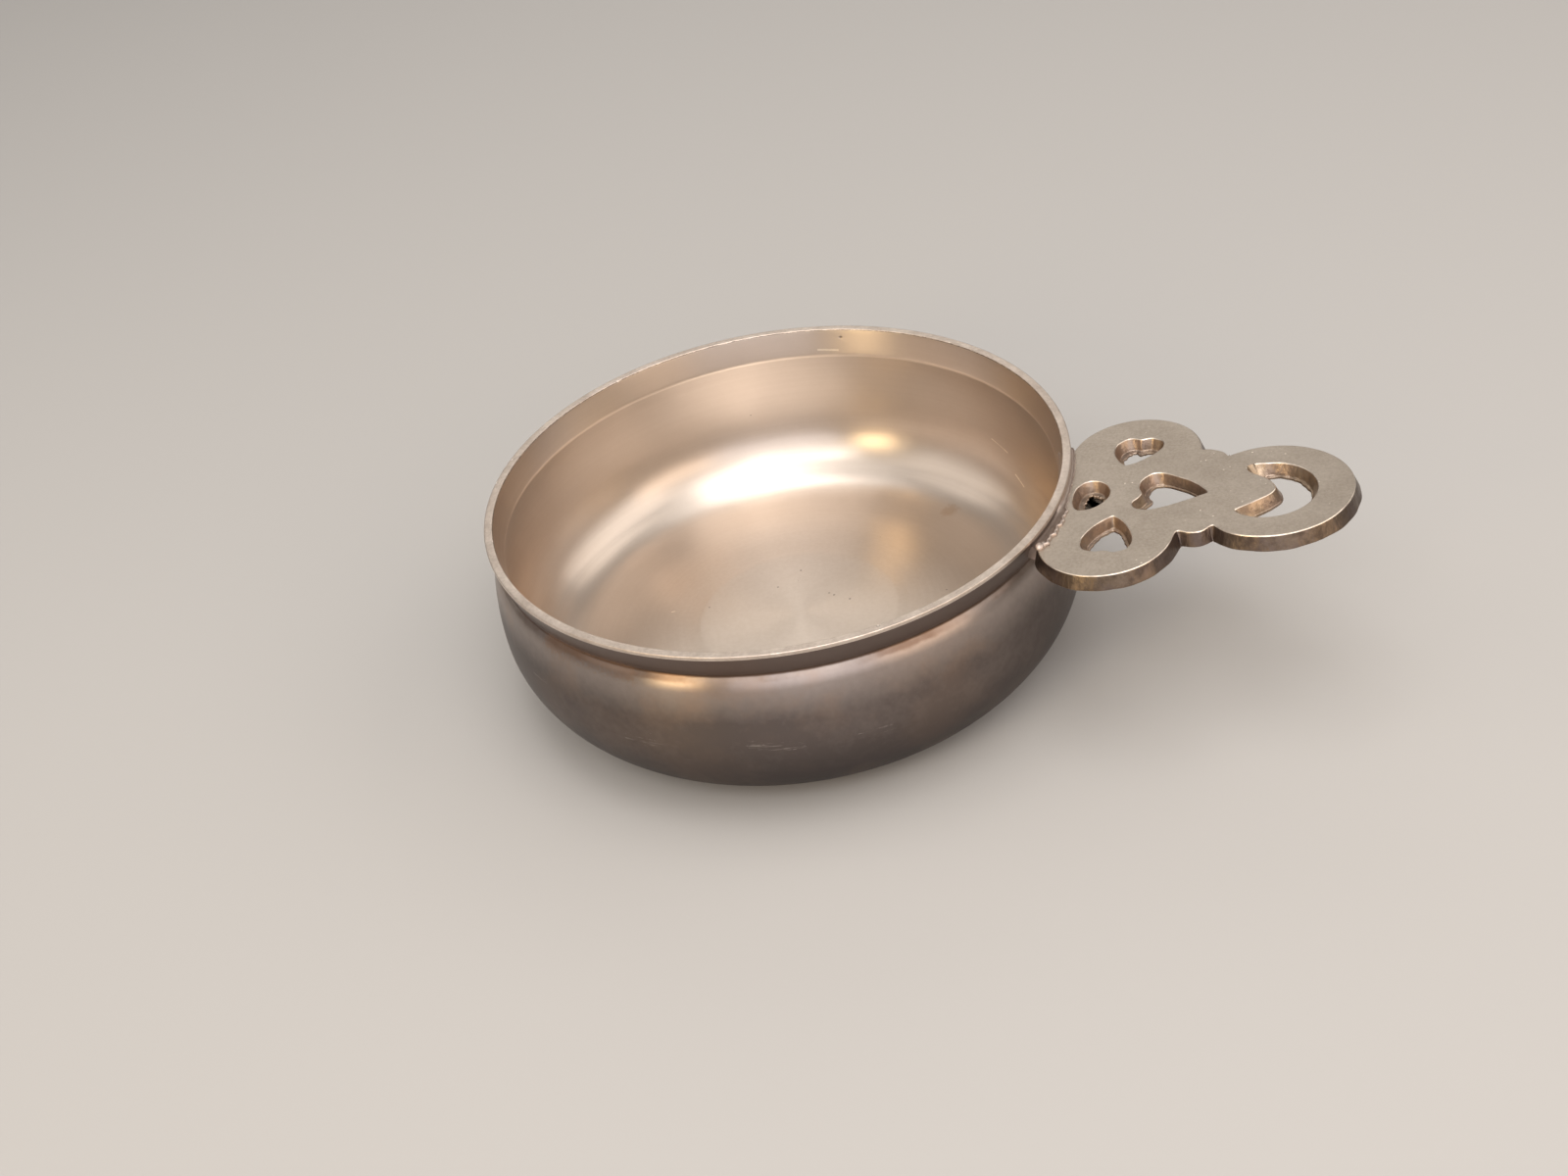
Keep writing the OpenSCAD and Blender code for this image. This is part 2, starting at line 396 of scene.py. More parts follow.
class Wiring:
    """Adds nodes to one tree and joins them.

    Attributes:
        tree: The tree.
        here: The position that effects and noises are given, in metres.
    """

    def __init__(self, tree: bpy.types.NodeTree) -> None:
        """Works on a tree."""
        self.tree = tree
        self.here: Socket | None = None

    def add(
        self, kind: str, inputs: dict[str | int, object] | None = None, **settings: object
    ) -> bpy.types.Node:
        """Adds a node.

        Args:
            kind: The node's type.
            inputs: Its inputs by name or number, each a value or a socket to join.
            **settings: Its settings by name.

        Returns:
            The node.
        """
        node = self.tree.nodes.new(kind)
        for name, value in settings.items():
            setattr(node, name, value)
        for name, value in (inputs or {}).items():
            self.feed(node.inputs[name], value)
        return node

    def feed(self, socket: Socket, value: object) -> None:
        """Joins a socket to another, or gives it a value."""
        if isinstance(value, bpy.types.NodeSocket):
            self.tree.links.new(value, socket)
        elif isinstance(value, tuple) and socket.type == "RGBA":
            socket.default_value = (*value[:3], 1)
        else:
            socket.default_value = value

    def math(self, operation: str, *values: object, clamp: bool = False) -> Socket:
        """The result of a Math node.

        Args:
            operation: What it does.
            *values: Its inputs in order.
            clamp: True to keep the result from 0 to 1.

        Returns:
            The result's socket.
        """
        inputs = dict(enumerate(values))
        return self.add("ShaderNodeMath", inputs, operation=operation, use_clamp=clamp).outputs[0]

    def times(self, first: object, second: object) -> Socket:
        """The product of two values."""
        return self.math("MULTIPLY", first, second)

    def over(self, first: object, second: object) -> Socket:
        """The first value divided by the second."""
        return self.math("DIVIDE", first, second)

    def plus(self, first: object, second: object) -> Socket:
        """The sum of two values."""
        return self.math("ADD", first, second)

    def minus(self, first: object, second: object) -> Socket:
        """The first value less the second."""
        return self.math("SUBTRACT", first, second)

    def most(self, first: object, second: object) -> Socket:
        """The greater of two values."""
        return self.math("MAXIMUM", first, second)

    def vector(self, operation: str, *values: object, **inputs: object) -> Socket:
        """The vector result of a Vector Math node."""
        inputs = {**dict(enumerate(values)), **inputs}
        return self.add("ShaderNodeVectorMath", inputs, operation=operation).outputs["Vector"]

    def measure(self, operation: str, *values: object) -> Socket:
        """The number that a Vector Math node gives, such as a length."""
        inputs = dict(enumerate(values))
        return self.add("ShaderNodeVectorMath", inputs, operation=operation).outputs["Value"]

    def parts(self) -> bpy.types.NodeOutputs:
        """The X, Y and Z of the position."""
        return self.add("ShaderNodeSeparateXYZ", {"Vector": self.here}).outputs

    def fade(self, value: object, start: object, end: object) -> Socket:
        """0 at start, 1 at end, smooth between them."""
        inputs = {"Value": value, "From Min": start, "From Max": end}
        node = self.add("ShaderNodeMapRange", inputs, interpolation_type="SMOOTHSTEP")
        return node.outputs["Result"]

    def spread(self, value: object, low: object, high: object) -> Socket:
        """A mask made to run from low to high."""
        node = self.add("ShaderNodeMapRange", {"Value": value, "To Min": low, "To Max": high})
        return node.outputs["Result"]

    def blend(self, mask: object, first: object, second: object) -> Socket:
        """The first colour where the mask is 0 and the second where it is 1."""
        inputs = {0: mask, 6: first, 7: second}
        return self.add("ShaderNodeMix", data_type="RGBA", inputs=inputs).outputs[2]

    def noise(
        self, scale: object, detail: float = 3.0, rough: float = 0.5, place: object = None
    ) -> Socket:
        """The value of a noise texture.

        Args:
            scale: Its scale.
            detail: Its detail.
            rough: Its roughness.
            place: Where it is read, if that isn't the position.

        Returns:
            The value's socket.
        """
        inputs = {"Vector": place or self.here, "Scale": scale, "Detail": detail}
        return self.add("ShaderNodeTexNoise", {**inputs, "Roughness": rough}).outputs[0]

    def place(self, effect: str, **inputs: object) -> dict[str, Socket]:
        """Places an effect's group.

        Args:
            effect: The group's name.
            **inputs: Its inputs by name. Position is the tree's own unless it is given.

        Returns:
            Its outputs by name.
        """
        inputs = {"Position": self.here, **inputs}
        node = self.add("ShaderNodeGroup", inputs, node_tree=bpy.data.node_groups[effect])
        return {socket.name: socket for socket in node.outputs}

    def mask(self, effect: str, **inputs: object) -> Socket:
        """The mask of an effect."""
        return self.place(effect, **inputs)["Mask"]

    def mark(self, start: Spot, end: Spot, width: float, ragged: float) -> Socket:
        """The mask of one mark between two places, in millimetres."""
        return self.mask("single_mark", Start=start, End=end, Width=width, Ragged=ragged)


class Effect(Wiring):
    """One node group: an effect with named inputs and outputs.

    Lengths that go in are millimetres, and positions are the object's own, in metres.
    """

    def __init__(self, name: str, outputs: tuple[str, ...] = ("Mask",), **inputs: object) -> None:
        """Makes the group and its sockets.

        Args:
            name: The effect's name.
            outputs: The names of its outputs, which are all values.
            **inputs: Each input's starting value beside Position. A tuple makes a vector.
        """
        super().__init__(bpy.data.node_groups.new(name, "ShaderNodeTree"))
        sockets = self.tree.interface
        for title, value in {"Position": (0.0, 0.0, 0.0), **inputs}.items():
            kind = "NodeSocketVector" if isinstance(value, tuple) else "NodeSocketFloat"
            socket = sockets.new_socket(title, in_out="INPUT", socket_type=kind)
            socket.default_value = value
        for title in outputs:
            sockets.new_socket(title, in_out="OUTPUT", socket_type="NodeSocketFloat")
        self.given = self.tree.nodes.new("NodeGroupInput").outputs
        self.result = self.tree.nodes.new("NodeGroupOutput").inputs
        self.here = self.given["Position"]

    def give(self, value: object, name: str = "Mask") -> None:
        """Joins a result to one of the outputs."""
        self.feed(self.result[name], value)


def make_round_axis() -> None:
    """Radius and height about the bowl's axis, in millimetres."""
    w = Effect("round_axis", ("Radius", "Height"))
    w.give(w.measure("LENGTH", w.vector("MULTIPLY", w.here, (PER_M, PER_M, 0.0))), "Radius")
    w.give(w.times(w.parts()["Z"], PER_M), "Height")


def make_lathe_rings() -> None:
    """Fine rings that a lathe tool leaves, which fade in and out on their way round."""
    w = Effect("lathe_rings", Spacing=0.5, Run=30.0)
    axis, parts, spacing = w.place("round_axis"), w.parts(), w.given["Spacing"]
    along, radius = w.over(MEAN_RADIUS, w.given["Run"]), w.most(axis["Radius"], 0.1)
    turn = [w.times(w.over(w.times(parts[k], PER_M), radius), along) for k in (0, 1)]
    radial, upward = w.over(axis["Radius"], spacing), w.over(axis["Height"], spacing)
    place = w.add("ShaderNodeCombineXYZ", {"X": radial, "Y": upward, "Z": turn[0]})
    inputs = {"Vector": place.outputs[0], "W": turn[1], "Scale": 1.0, "Detail": 3.0}
    inputs["Roughness"] = 0.65
    w.give(w.add("ShaderNodeTexNoise", inputs, noise_dimensions="4D").outputs[0])


def make_tarnish() -> None:
    """Clouds of darker skin, broken up by finer ones."""
    w = Effect("tarnish", Size=12.0, Cover=0.5, Softness=0.15, Shift=0.0)
    moved = w.vector("ADD", w.here, w.given["Shift"])
    coarse = w.noise(w.over(PER_M, w.given["Size"]), 5.0, 0.62, moved)
    level = w.spread(w.minus(1.0, w.given["Cover"]), 0.3, 0.7)
    soft = w.given["Softness"]
    w.give(w.fade(coarse, w.minus(level, soft), w.plus(level, soft)))


def make_pores() -> None:
    """Round pores and specks of uneven size, some places bare of them."""
    w = Effect("pores", Spacing=2.0, Size=0.3, Share=0.4)
    inputs = {"Vector": w.here, "Scale": w.over(PER_M, w.given["Spacing"]), "Randomness": 1.0}
    cells = w.add("ShaderNodeTexVoronoi", inputs).outputs
    random = w.add("ShaderNodeSeparateColor", {"Color": cells["Color"]}).outputs
    chosen = w.math("LESS_THAN", random[0], w.given["Share"])
    size = w.times(w.given["Size"], w.spread(random[1], 0.4, 1.2))
    reach = w.over(size, w.given["Spacing"])
    w.give(w.times(w.fade(cells["Distance"], reach, w.times(reach, 0.4)), chosen))


def make_scratches() -> None:
    """Thin straight scratches that all run one way, turned by Turn."""
    w = Effect("scratches", Turn=(0.0, 0.0, 0.0), Length=6.0, Width=0.12, Share=0.1)
    inputs = {"Vector": w.here, "Rotation": w.given["Turn"]}
    turned_way = w.add("ShaderNodeVectorRotate", inputs, rotation_type="EULER_XYZ").outputs[0]
    long_way, thin_way = (w.over(PER_M, w.given[name]) for name in ("Length", "Width"))
    stretch = w.add("ShaderNodeCombineXYZ", {"X": long_way, "Y": thin_way, "Z": long_way})
    place = w.vector("MULTIPLY", turned_way, stretch.outputs[0])
    lines = w.noise(1.0, 1.0, 0.4, place)
    level = w.spread(w.given["Share"], 0.86, 0.55)
    patches = w.fade(w.noise(90.0, 2.0), 0.42, 0.6)
    w.give(w.times(w.fade(lines, level, w.plus(level, 0.06)), patches))


def uneven_width(w: Effect, grain: Socket) -> Socket:
    """An effect's Width, made uneven by a noise as much as its Ragged says."""
    shake = w.times(w.minus(grain, 0.5), w.times(w.given["Ragged"], 4.0))
    return w.times(w.given["Width"], w.plus(1.0, shake))


def make_turned_line() -> None:
    """A line round the bowl at one radius and height, used for dirt, painted shade in a corner and
    a painted highlight on a ridge.
    """
    w = Effect("turned_line", Radius=60.0, Height=40.0, Width=0.5, Ragged=0.5, Grain=1.5)
    axis = w.place("round_axis")
    off = [w.math("POWER", w.minus(axis[k], w.given[k]), 2.0) for k in ("Radius", "Height")]
    away = w.math("SQRT", w.plus(*off))
    reach = uneven_width(w, w.noise(w.over(PER_M, w.given["Grain"]), 3.0, 0.6))
    w.give(w.fade(away, w.most(reach, 0.02), w.times(reach, 0.3)))


def make_single_mark() -> None:
    """One mark about a straight line from Start to End: a scratch, a stain, a patch or a painted
    glint.
    """
    origin = (0.0, 0.0, 0.0)
    w = Effect("single_mark", Start=origin, End=origin, Width=0.5, Ragged=0.3)
    start = w.given["Start"]
    here = w.vector("SUBTRACT", w.vector("SCALE", w.here, Scale=PER_M), start)
    way = w.vector("SUBTRACT", w.given["End"], start)
    along, whole = (w.measure("DOT_PRODUCT", way, second) for second in (here, way))
    share = w.math("DIVIDE", along, w.most(whole, 0.001), clamp=True)
    off = w.vector("SUBTRACT", here, w.vector("SCALE", way, Scale=share))
    reach = uneven_width(w, w.noise(1400.0, 3.0, 0.6))
    w.give(w.fade(w.measure("LENGTH", off), reach, w.times(reach, 0.25)))


class Metal(Enum):
    """The finishes of the porringer, each a material."""

    OUTSIDE = "belly_satin"
    INSIDE = "polished_hollow"
    LIP = "worn_lip"
    CAST = "cast_skin"
    # Painted shade: a darker copy of the walls' finish for the handle's outer sides.
    SIDES = "cast_side"
    WALLS = "cut_walls"
    ARRIS = "worn_arris"
    SOLDER = "run_solder"


@dataclass
class Finish:
    """What all finishes share: a metal shader, colours laid over each other, bumps in a chain.

    Attributes:
        metal: Which finish it is.
        grain: How much the lathe's grooves draw its highlights out across them.
    """

    metal: Metal
    grain: float = 0.0

    def material(self) -> bpy.types.Material:
        """The finish as a material."""
        made = bpy.data.materials.new(self.metal.value)
        made.use_nodes = True
        self.w = Wiring(made.node_tree)
        self.w.here = self.w.add("ShaderNodeTexCoord").outputs["Object"]
        self.shader = made.node_tree.nodes["Principled BSDF"].inputs
        self.shader["Metallic"].default_value = 1.0
        self.shader["Anisotropic"].default_value = self.grain
        self.shader["Anisotropic Rotation"].default_value = ACROSS
        self.body: object = None
        self.bump_end: Socket | None = None
        self.dress()
        self.w.feed(self.shader["Base Color"], self.body)
        if self.bump_end:
            self.w.feed(self.shader["Normal"], self.bump_end)
        return made

    def dress(self) -> None:
        """Joins the finish's own nodes. Each finish has its own."""
        raise NotImplementedError

    def paint(self, colour: Colour, mask: Socket | None = None, amount: object = None) -> None:
        """Lays a colour over the ones before.

        Args:
            colour: The colour.
            mask: Where it goes. Without one it is the first and goes everywhere.
            amount: How strongly it covers there. Without one it covers fully.
        """
        if mask is None:
            self.body = colour
            return
        if amount is not None:
            mask = self.w.times(mask, amount)
        self.body = self.w.blend(mask, self.body, colour)

    def bump(self, height: Socket, depth: float) -> None:
        """Adds a bump to the chain.

        Args:
            height: A mask or value from 0 to 1.
            depth: How high 1 stands, in millimetres.
        """
        inputs = {"Height": height, "Distance": depth * MM, "Strength": 1.0}
        if self.bump_end:
            inputs["Normal"] = self.bump_end
        self.bump_end = self.w.add("ShaderNodeBump", inputs).outputs["Normal"]

    def rough(self, value: object) -> None:
        """Sets or joins the roughness."""
        self.w.feed(self.shader["Roughness"], value)


@dataclass
class BellySatin(Finish):
    """The outside: satin, tarnished and scuffed, with a painted highlight on the shoulder, painted
    shade on the collar, in its corner and low on the belly, and dirt and painted shade just under
    the collar.

    Attributes:
        clean: Colour of the shoulder, partly rubbed by handling and partly a painted highlight.
        dull: Colour of the tarnished belly; below the shoulder it is also painted shade.
        low: Colour of its lower part, painted shade that darkens towards the bottom.
        warm: Colour of the warmer stains.
        collar: Colour of the collar under the lip, painted shade.
        dirt: Colour of the painted shade line in the collar's corner.
        grime_and_shade: Colour of the thinner dirt on the shoulder below it, with painted shade
            under the collar.
        rust: Colour of the brown stain at the left of the shoulder.
        scuff: Colour of the fine scuffs.
        rub: Colour of the patches rubbed along the lathe's rings.
        fresh: Colour of the deep scratch.
    """

    clean: Colour = (0.38, 0.325, 0.295)
    dull: Colour = (0.135, 0.112, 0.103)
    low: Colour = (0.052, 0.043, 0.042)
    warm: Colour = (0.36, 0.24, 0.165)
    collar: Colour = (0.13, 0.09, 0.075)
    dirt: Colour = (0.07, 0.04, 0.025)
    grime_and_shade: Colour = (0.14, 0.075, 0.045)
    rust: Colour = (0.34, 0.19, 0.11)
    scuff: Colour = (0.5, 0.44, 0.4)
    rub: Colour = (0.42, 0.37, 0.34)
    fresh: Colour = (0.95, 0.85, 0.72)

    def dress(self) -> None:
        """Joins tarnish, stains, dirt, scuffs, rings and grain, with the painted highlight and
        painted shade.
        """
        w = self.w
        height = w.place("round_axis")["Height"]
        clouds = w.times(w.mask("tarnish", Size=26.0, Softness=0.2), 0.22)
        fine = w.times(w.mask("tarnish", Size=1.6, Softness=0.25), 0.1)
        # Painted light by height: the shoulder is painted lighter as a highlight and the belly
        # below it darker as shade; the clouds are tarnish.
        worn = w.times(w.fade(height, 34.5, 25.0), 0.8)
        dull = w.math("ADD", clouds, w.plus(worn, fine), clamp=True)
        self.paint(self.clean)
        self.paint(self.dull, dull)
        # Painted shade: the belly is painted darker towards the bottom.
        self.paint(self.low, w.fade(height, 24.0, 5.0))
        stains = w.mask("tarnish", Size=17.0, Cover=0.42, Softness=0.1, Shift=0.31)
        self.paint(self.warm, stains, w.spread(w.fade(height, 22.0, 34.0), 0.08, 0.34))
        # Painted shade on the collar under the lip.
        self.paint(self.collar, w.fade(height, 35.6, 36.4), 0.75)
        # Painted shade: a dark line in the collar's corner.
        corner = w.mask("turned_line", Radius=58.35, Height=35.9, Ragged=0.2, Grain=2.4)
        self.paint(self.dirt, corner, 0.85)
        # Dirt and painted shade on the shoulder just under the collar, in patches on the left.
        grime_and_shade = w.mask("turned_line", Radius=58.9, Height=35.3, Width=1.0, Ragged=0.6, Grain=5.0)
        left = w.mask("tarnish", Size=20.0, Cover=0.4, Softness=0.12, Shift=0.77)
        self.paint(self.grime_and_shade, w.times(grime_and_shade, 0.6), left)
        self.paint(self.rust, w.mark((-29.5, -50.9, 34.8), (-10.4, -57.8, 34.9), 2.6, 0.5), 0.45)
        scuffs = w.most(
            w.mask("scratches", Turn=(0.0, 0.3, 0.4), Length=3.0, Width=0.25, Share=0.12),
            w.mask("scratches", Turn=(1.2, 0.2, 0.9), Length=5.0, Width=0.16),
        )
        self.paint(self.scuff, scuffs, 0.12)
        hairs = w.fade(w.mask("lathe_rings", Spacing=0.45, Run=6.0), 0.5, 0.62)
        for start, end, width in (
            ((-13.2, -59.8, 20.4), (-6.3, -61.0, 20.3), 1.1),
            ((12.2, -59.9, 21.2), (20.8, -57.4, 20.2), 1.3),
            ((31.2, -52.7, 20.1), (36.3, -49.4, 19.7), 1.1),
            ((-36.6, -48.9, 24.8), (-33.3, -51.3, 24.4), 0.7),
        ):
            self.paint(self.rub, w.times(w.mark(start, end, width, 0.9), hairs), 0.45)
        scratch = w.mark((24.9, -54.8, 32.4), (24.2, -56.6, 27.4), 0.16, 0.4)
        self.paint(self.fresh, scratch, 0.8)
        shoulder = w.times(w.fade(height, 31.5, 34.0), 0.03)
        self.rough(w.minus(w.spread(dull, 0.315, 0.42), shoulder))
        self.bump(w.mask("lathe_rings", Spacing=0.35, Run=20.0), 0.006)
        self.bump(w.noise(3200.0, 2.0), 0.006)
        self.bump(w.noise(60.0, 2.0), 0.2)
        self.bump(scratch, -0.02)


@dataclass
class PolishedHollow(Finish):
    """The inside: polished, with streaks round it, pores in the floor, a few stains, painted
    glints, a painted highlight on the ridge and painted shade towards the handle.

    Attributes:
        bright: Colour of the polished metal.
        floor: Colour of the greyer floor.
        stain: Colour of the clouds and of the fine mottle.
        streak: Colour of the streaks round it.
        side: Colour of the wall towards the handle: painted shade, tinted brown as a stain.
        pit: Colour in the pores.
        brown: Colour of the brown stain on the wall.
        ridge: Colour of the ridge under the collar, partly rubbed and partly a painted highlight.
        glint: Colour of the painted glints.
    """

    bright: Colour = (0.635, 0.56, 0.497)
    floor: Colour = (0.67, 0.597, 0.53)
    stain: Colour = (0.48, 0.385, 0.3)
    streak: Colour = (0.44, 0.36, 0.29)
    side: Colour = (0.45, 0.36, 0.25)
    pit: Colour = (0.12, 0.08, 0.06)
    brown: Colour = (0.42, 0.27, 0.15)
    ridge: Colour = (0.92, 0.82, 0.72)
    glint: Colour = (1.0, 0.93, 0.8)

    def dress(self) -> None:
        """Joins streaks, clouds, pores, stains, the painted shade towards the handle, the painted
        glints and the ridge's painted highlight.
        """
        w = self.w
        axis = w.place("round_axis")
        radius, height = axis["Radius"], axis["Height"]
        inner = w.times(w.fade(radius, 50.0, 24.0), w.fade(height, 12.0, 6.0))
        self.paint(self.bright)
        self.paint(self.floor, inner)
        self.paint(self.stain, w.mask("tarnish", Size=22.0, Softness=0.22, Shift=0.13), 0.12)
        rings = w.fade(w.mask("lathe_rings", Run=120.0), 0.35, 0.65)
        streaks = w.times(rings, w.fade(radius, 10.0, 30.0))
        self.paint(self.streak, streaks, 0.06)
        mottle = w.mask("tarnish", Size=0.9, Softness=0.2, Shift=0.4)
        self.paint(self.stain, mottle, w.spread(inner, 0.05, 0.16))
        # Painted shade, partly a brown stain: the wall towards the handle is painted darker and
        # browner.
        side = w.times(w.fade(w.parts()["X"], 0.018, 0.05), w.fade(height, 5.0, 12.0))
        self.paint(self.side, side, 0.32)
        pits = w.mask("pores", Spacing=1.9, Size=0.16, Share=0.25)
        pits = w.times(pits, w.times(inner, w.fade(w.noise(110.0, 2.0), 0.48, 0.6)))
        holes = w.most(w.mask("pores", Spacing=7.0, Size=0.22, Share=0.3), pits)
        for spot, size in (
            ((4.5, 7.3, 5.3), 0.3),
            ((5.8, 6.7, 5.3), 0.36),
            ((9.7, 5.8, 5.3), 0.3),
            ((-7.5, 8.1, 5.3), 0.26),
            ((-4.3, 14.6, 5.3), 0.3),
            ((-3.0, 57.8, 39.6), 0.5),
        ):
            holes = w.most(holes, w.mark(spot, spot, size, 0.6))
        self.paint(self.pit, holes, 0.75)
        self.paint(self.brown, w.mark((22.4, 41.8, 4.0), (23.2, 42.4, 4.0), 2.2, 0.5), 0.35)
        # Painted highlight along the ridge under the collar, partly rubbed metal.
        ridge = w.mask("turned_line", Radius=57.1, Height=35.3, Width=0.55, Ragged=0.25, Grain=6.0)
        self.paint(self.ridge, ridge, 0.55)
        # Painted highlights: short bright glints on the wall, the collar and the floor.
        glints = w.mark((32.0, 50.3, 18.6), (36.2, 47.1, 17.2), 0.22, 0.3)
        for start, end, width in (
            ((38.4, 44.0, 13.6), (41.0, 40.9, 12.4), 0.2),
            ((-8.5, 56.7, 36.8), (-3.9, 57.2, 36.6), 0.3),
            ((-28.9, -2.5, 4.6), (-28.4, -2.3, 4.6), 0.35),
        ):
            glints = w.most(glints, w.mark(start, end, width, 0.3))
        self.paint(self.glint, glints, 0.7)
        soft = w.spread(w.fade(w.noise(45.0, 1.0), 0.35, 0.65), 0.298, 0.325)
        rough = w.plus(soft, w.times(w.minus(streaks, 0.5), 0.02))
        self.rough(w.plus(rough, w.times(inner, 0.1)))
        self.bump(streaks, 0.0003)
        self.bump(w.mask("lathe_rings", Spacing=5.0, Run=260.0), 0.02)
        self.bump(w.times(w.noise(1500.0, 3.0, 0.6), inner), 0.01)
        self.bump(w.noise(45.0, 2.0), 0.16)
        self.bump(w.noise(2600.0, 2.0), 0.004)
        self.bump(holes, -0.05)


@dataclass
class WornLip(Finish):
    """The lip's flat top and edge: rubbed bright, with nicks and a painted dark reflection along
    its inner edge.

    Attributes:
        bright: Colour of the rubbed metal.
        dull: Colour of what isn't rubbed.
        nick: Colour in the nicks.
        dark: Colour of the painted dark reflection line.
    """

    bright: Colour = (0.76, 0.66, 0.58)
    dull: Colour = (0.55, 0.465, 0.4)
    nick: Colour = (0.9, 0.82, 0.74)
    dark: Colour = (0.06, 0.04, 0.03)

    def dress(self) -> None:
        """Joins wear, nicks and the painted dark reflection line."""
        w = self.w
        patches = w.mask("tarnish", Size=5.0, Softness=0.2, Shift=0.4)
        grain = w.mask("tarnish", Size=0.7, Softness=0.2)
        wear = w.math("ADD", w.times(patches, 0.6), w.times(grain, 0.4), clamp=True)
        self.paint(self.bright)
        self.paint(self.dull, wear)
        nicks = w.mask("pores", Spacing=2.2, Size=0.4, Share=0.22)
        self.paint(self.nick, nicks, 0.7)
        # Painted reflection: a dark line along the lip's inner edge.
        line = w.mask("turned_line", Radius=58.2, Height=41.2, Width=0.22, Ragged=1.0, Grain=1.2)
        self.paint(self.dark, line, 0.8)
        self.rough(w.spread(wear, 0.32, 0.46))
        for start, end in (
            ((24.1, 53.1, 41.4), (26.5, 52.0, 41.4)),
            ((29.0, 50.6, 41.4), (30.5, 49.7, 41.4)),
            ((33.4, 47.8, 41.4), (34.6, 46.9, 41.4)),
        ):
            nicks = w.most(nicks, w.mark(start, end, 0.55, 1.6))
        self.bump(nicks, -0.14)
        self.bump(grain, 0.03)
        self.bump(w.noise(160.0, 2.0), 0.15)


@dataclass
class CastSkin(Finish):
    """The handle's matte casting skin: grey-beige, with pits and fine sparkle.

    Attributes:
        skin: Colour of the skin.
        dull: Colour of its darker clouds.
        rub: Colour of the rubbed specks.
    """

    skin: Colour = (0.53, 0.465, 0.4)
    dull: Colour = (0.4, 0.345, 0.288)
    rub: Colour = (0.95, 0.88, 0.78)

    def dress(self) -> None:
        """Joins clouds, grain, pits and rubbed specks."""
        w = self.w
        clouds = w.mask("tarnish", Size=9.0, Softness=0.25)
        grain = w.mask("tarnish", Size=0.55, Softness=0.2)
        tone = w.math("ADD", w.times(clouds, 0.5), w.times(grain, 0.5), clamp=True)
        self.paint(self.skin)
        self.paint(self.dull, tone)
        specks = w.mask("pores", Spacing=1.2, Size=0.22, Share=0.3)
        specks = w.times(specks, w.fade(w.noise(70.0), 0.42, 0.62))
        self.paint(self.rub, specks, 0.9)
        moved = w.vector("ADD", w.here, (0.05, 0.02, 0.0))
        pits = w.mask("pores", Position=moved, Spacing=2.6, Share=0.2)
        scratches = w.mask("scratches", Turn=(0.0, 0.0, 0.5), Length=7.0, Share=0.16)
        self.paint(self.rub, scratches, 0.3)
        self.rough(w.minus(w.spread(tone, 0.44, 0.56), w.times(specks, 0.22)))
        self.bump(w.noise(2300.0, 3.0, 0.6), 0.032)
        self.bump(w.noise(130.0, 2.0), 0.28)
        self.bump(pits, -0.06)


@dataclass
class CutWalls(Finish):
    """The handle's side and hole walls: browner, rough, with ribs left by the mould.

    Attributes:
        wall: Colour of the walls.
        warm: Colour of their warmer, golden stains.
        dark: Colour of the dirt in them.
    """

    wall: Colour = (0.34, 0.262, 0.215)
    warm: Colour = (0.42, 0.315, 0.205)
    dark: Colour = (0.12, 0.085, 0.065)

    def dress(self) -> None:
        """Joins stains, dirt, ribs and grain."""
        w = self.w
        dark = w.mask("tarnish", Size=2.6, Cover=0.36, Softness=0.12, Shift=0.5)
        self.paint(self.wall)
        self.paint(self.warm, w.mask("tarnish", Size=8.0, Shift=0.2), 0.7)
        self.paint(self.dark, dark, 0.5)
        self.rough(w.spread(dark, 0.36, 0.5))
        upright = w.vector("MULTIPLY", w.here, (1.0, 1.0, 0.12))
        self.bump(w.noise(750.0, 2.0, place=upright), 0.2)
        self.bump(w.noise(1500.0, 3.0, 0.6), 0.05)


@dataclass
class WornArris(Finish):
    """Arrises rubbed bright, in places down to clean metal.

    Attributes:
        bright: Colour of the clean metal.
        skin: Colour where the skin is left.
    """

    bright: Colour = (0.82, 0.73, 0.63)
    skin: Colour = (0.42, 0.36, 0.31)

    def dress(self) -> None:
        """Joins the broken wear."""
        w = self.w
        left = w.mask("tarnish", Size=4.0, Cover=0.4, Softness=0.14, Shift=0.9)
        self.paint(self.bright)
        self.paint(self.skin, left)
        self.rough(w.spread(left, 0.29, 0.42))
        self.bump(w.noise(900.0, 3.0, 0.6), 0.06)


@dataclass
class PlainSolder(Finish):
    """Solder: one plain pinkish metal.

    Attributes:
        pink: Its colour.
        metallic: How much of a metal it is.
        gloss: Its roughness.
    """

    pink: Colour = (0.50196, 0.41961, 0.36863)
    metallic: float = 0.9
    gloss: float = 0.4

    def dress(self) -> None:
        """Sets its one colour and its sheen."""
        self.paint(self.pink)
        self.rough(self.gloss)
        self.shader["Metallic"].default_value = self.metallic


FINISHES = (
    BellySatin(Metal.OUTSIDE, grain=0.7),
    PolishedHollow(Metal.INSIDE, grain=0.55),
    WornLip(Metal.LIP),
    CastSkin(Metal.CAST),
    CutWalls(Metal.WALLS),
    # The handle's outer sides: the walls' finish painted darker, as shade.
    CutWalls(
        Metal.SIDES,
        wall=(0.14, 0.108, 0.094),
        warm=(0.18, 0.134, 0.09),
        dark=(0.045, 0.032, 0.026),
    ),
    WornArris(Metal.ARRIS),
    PlainSolder(Metal.SOLDER),
)


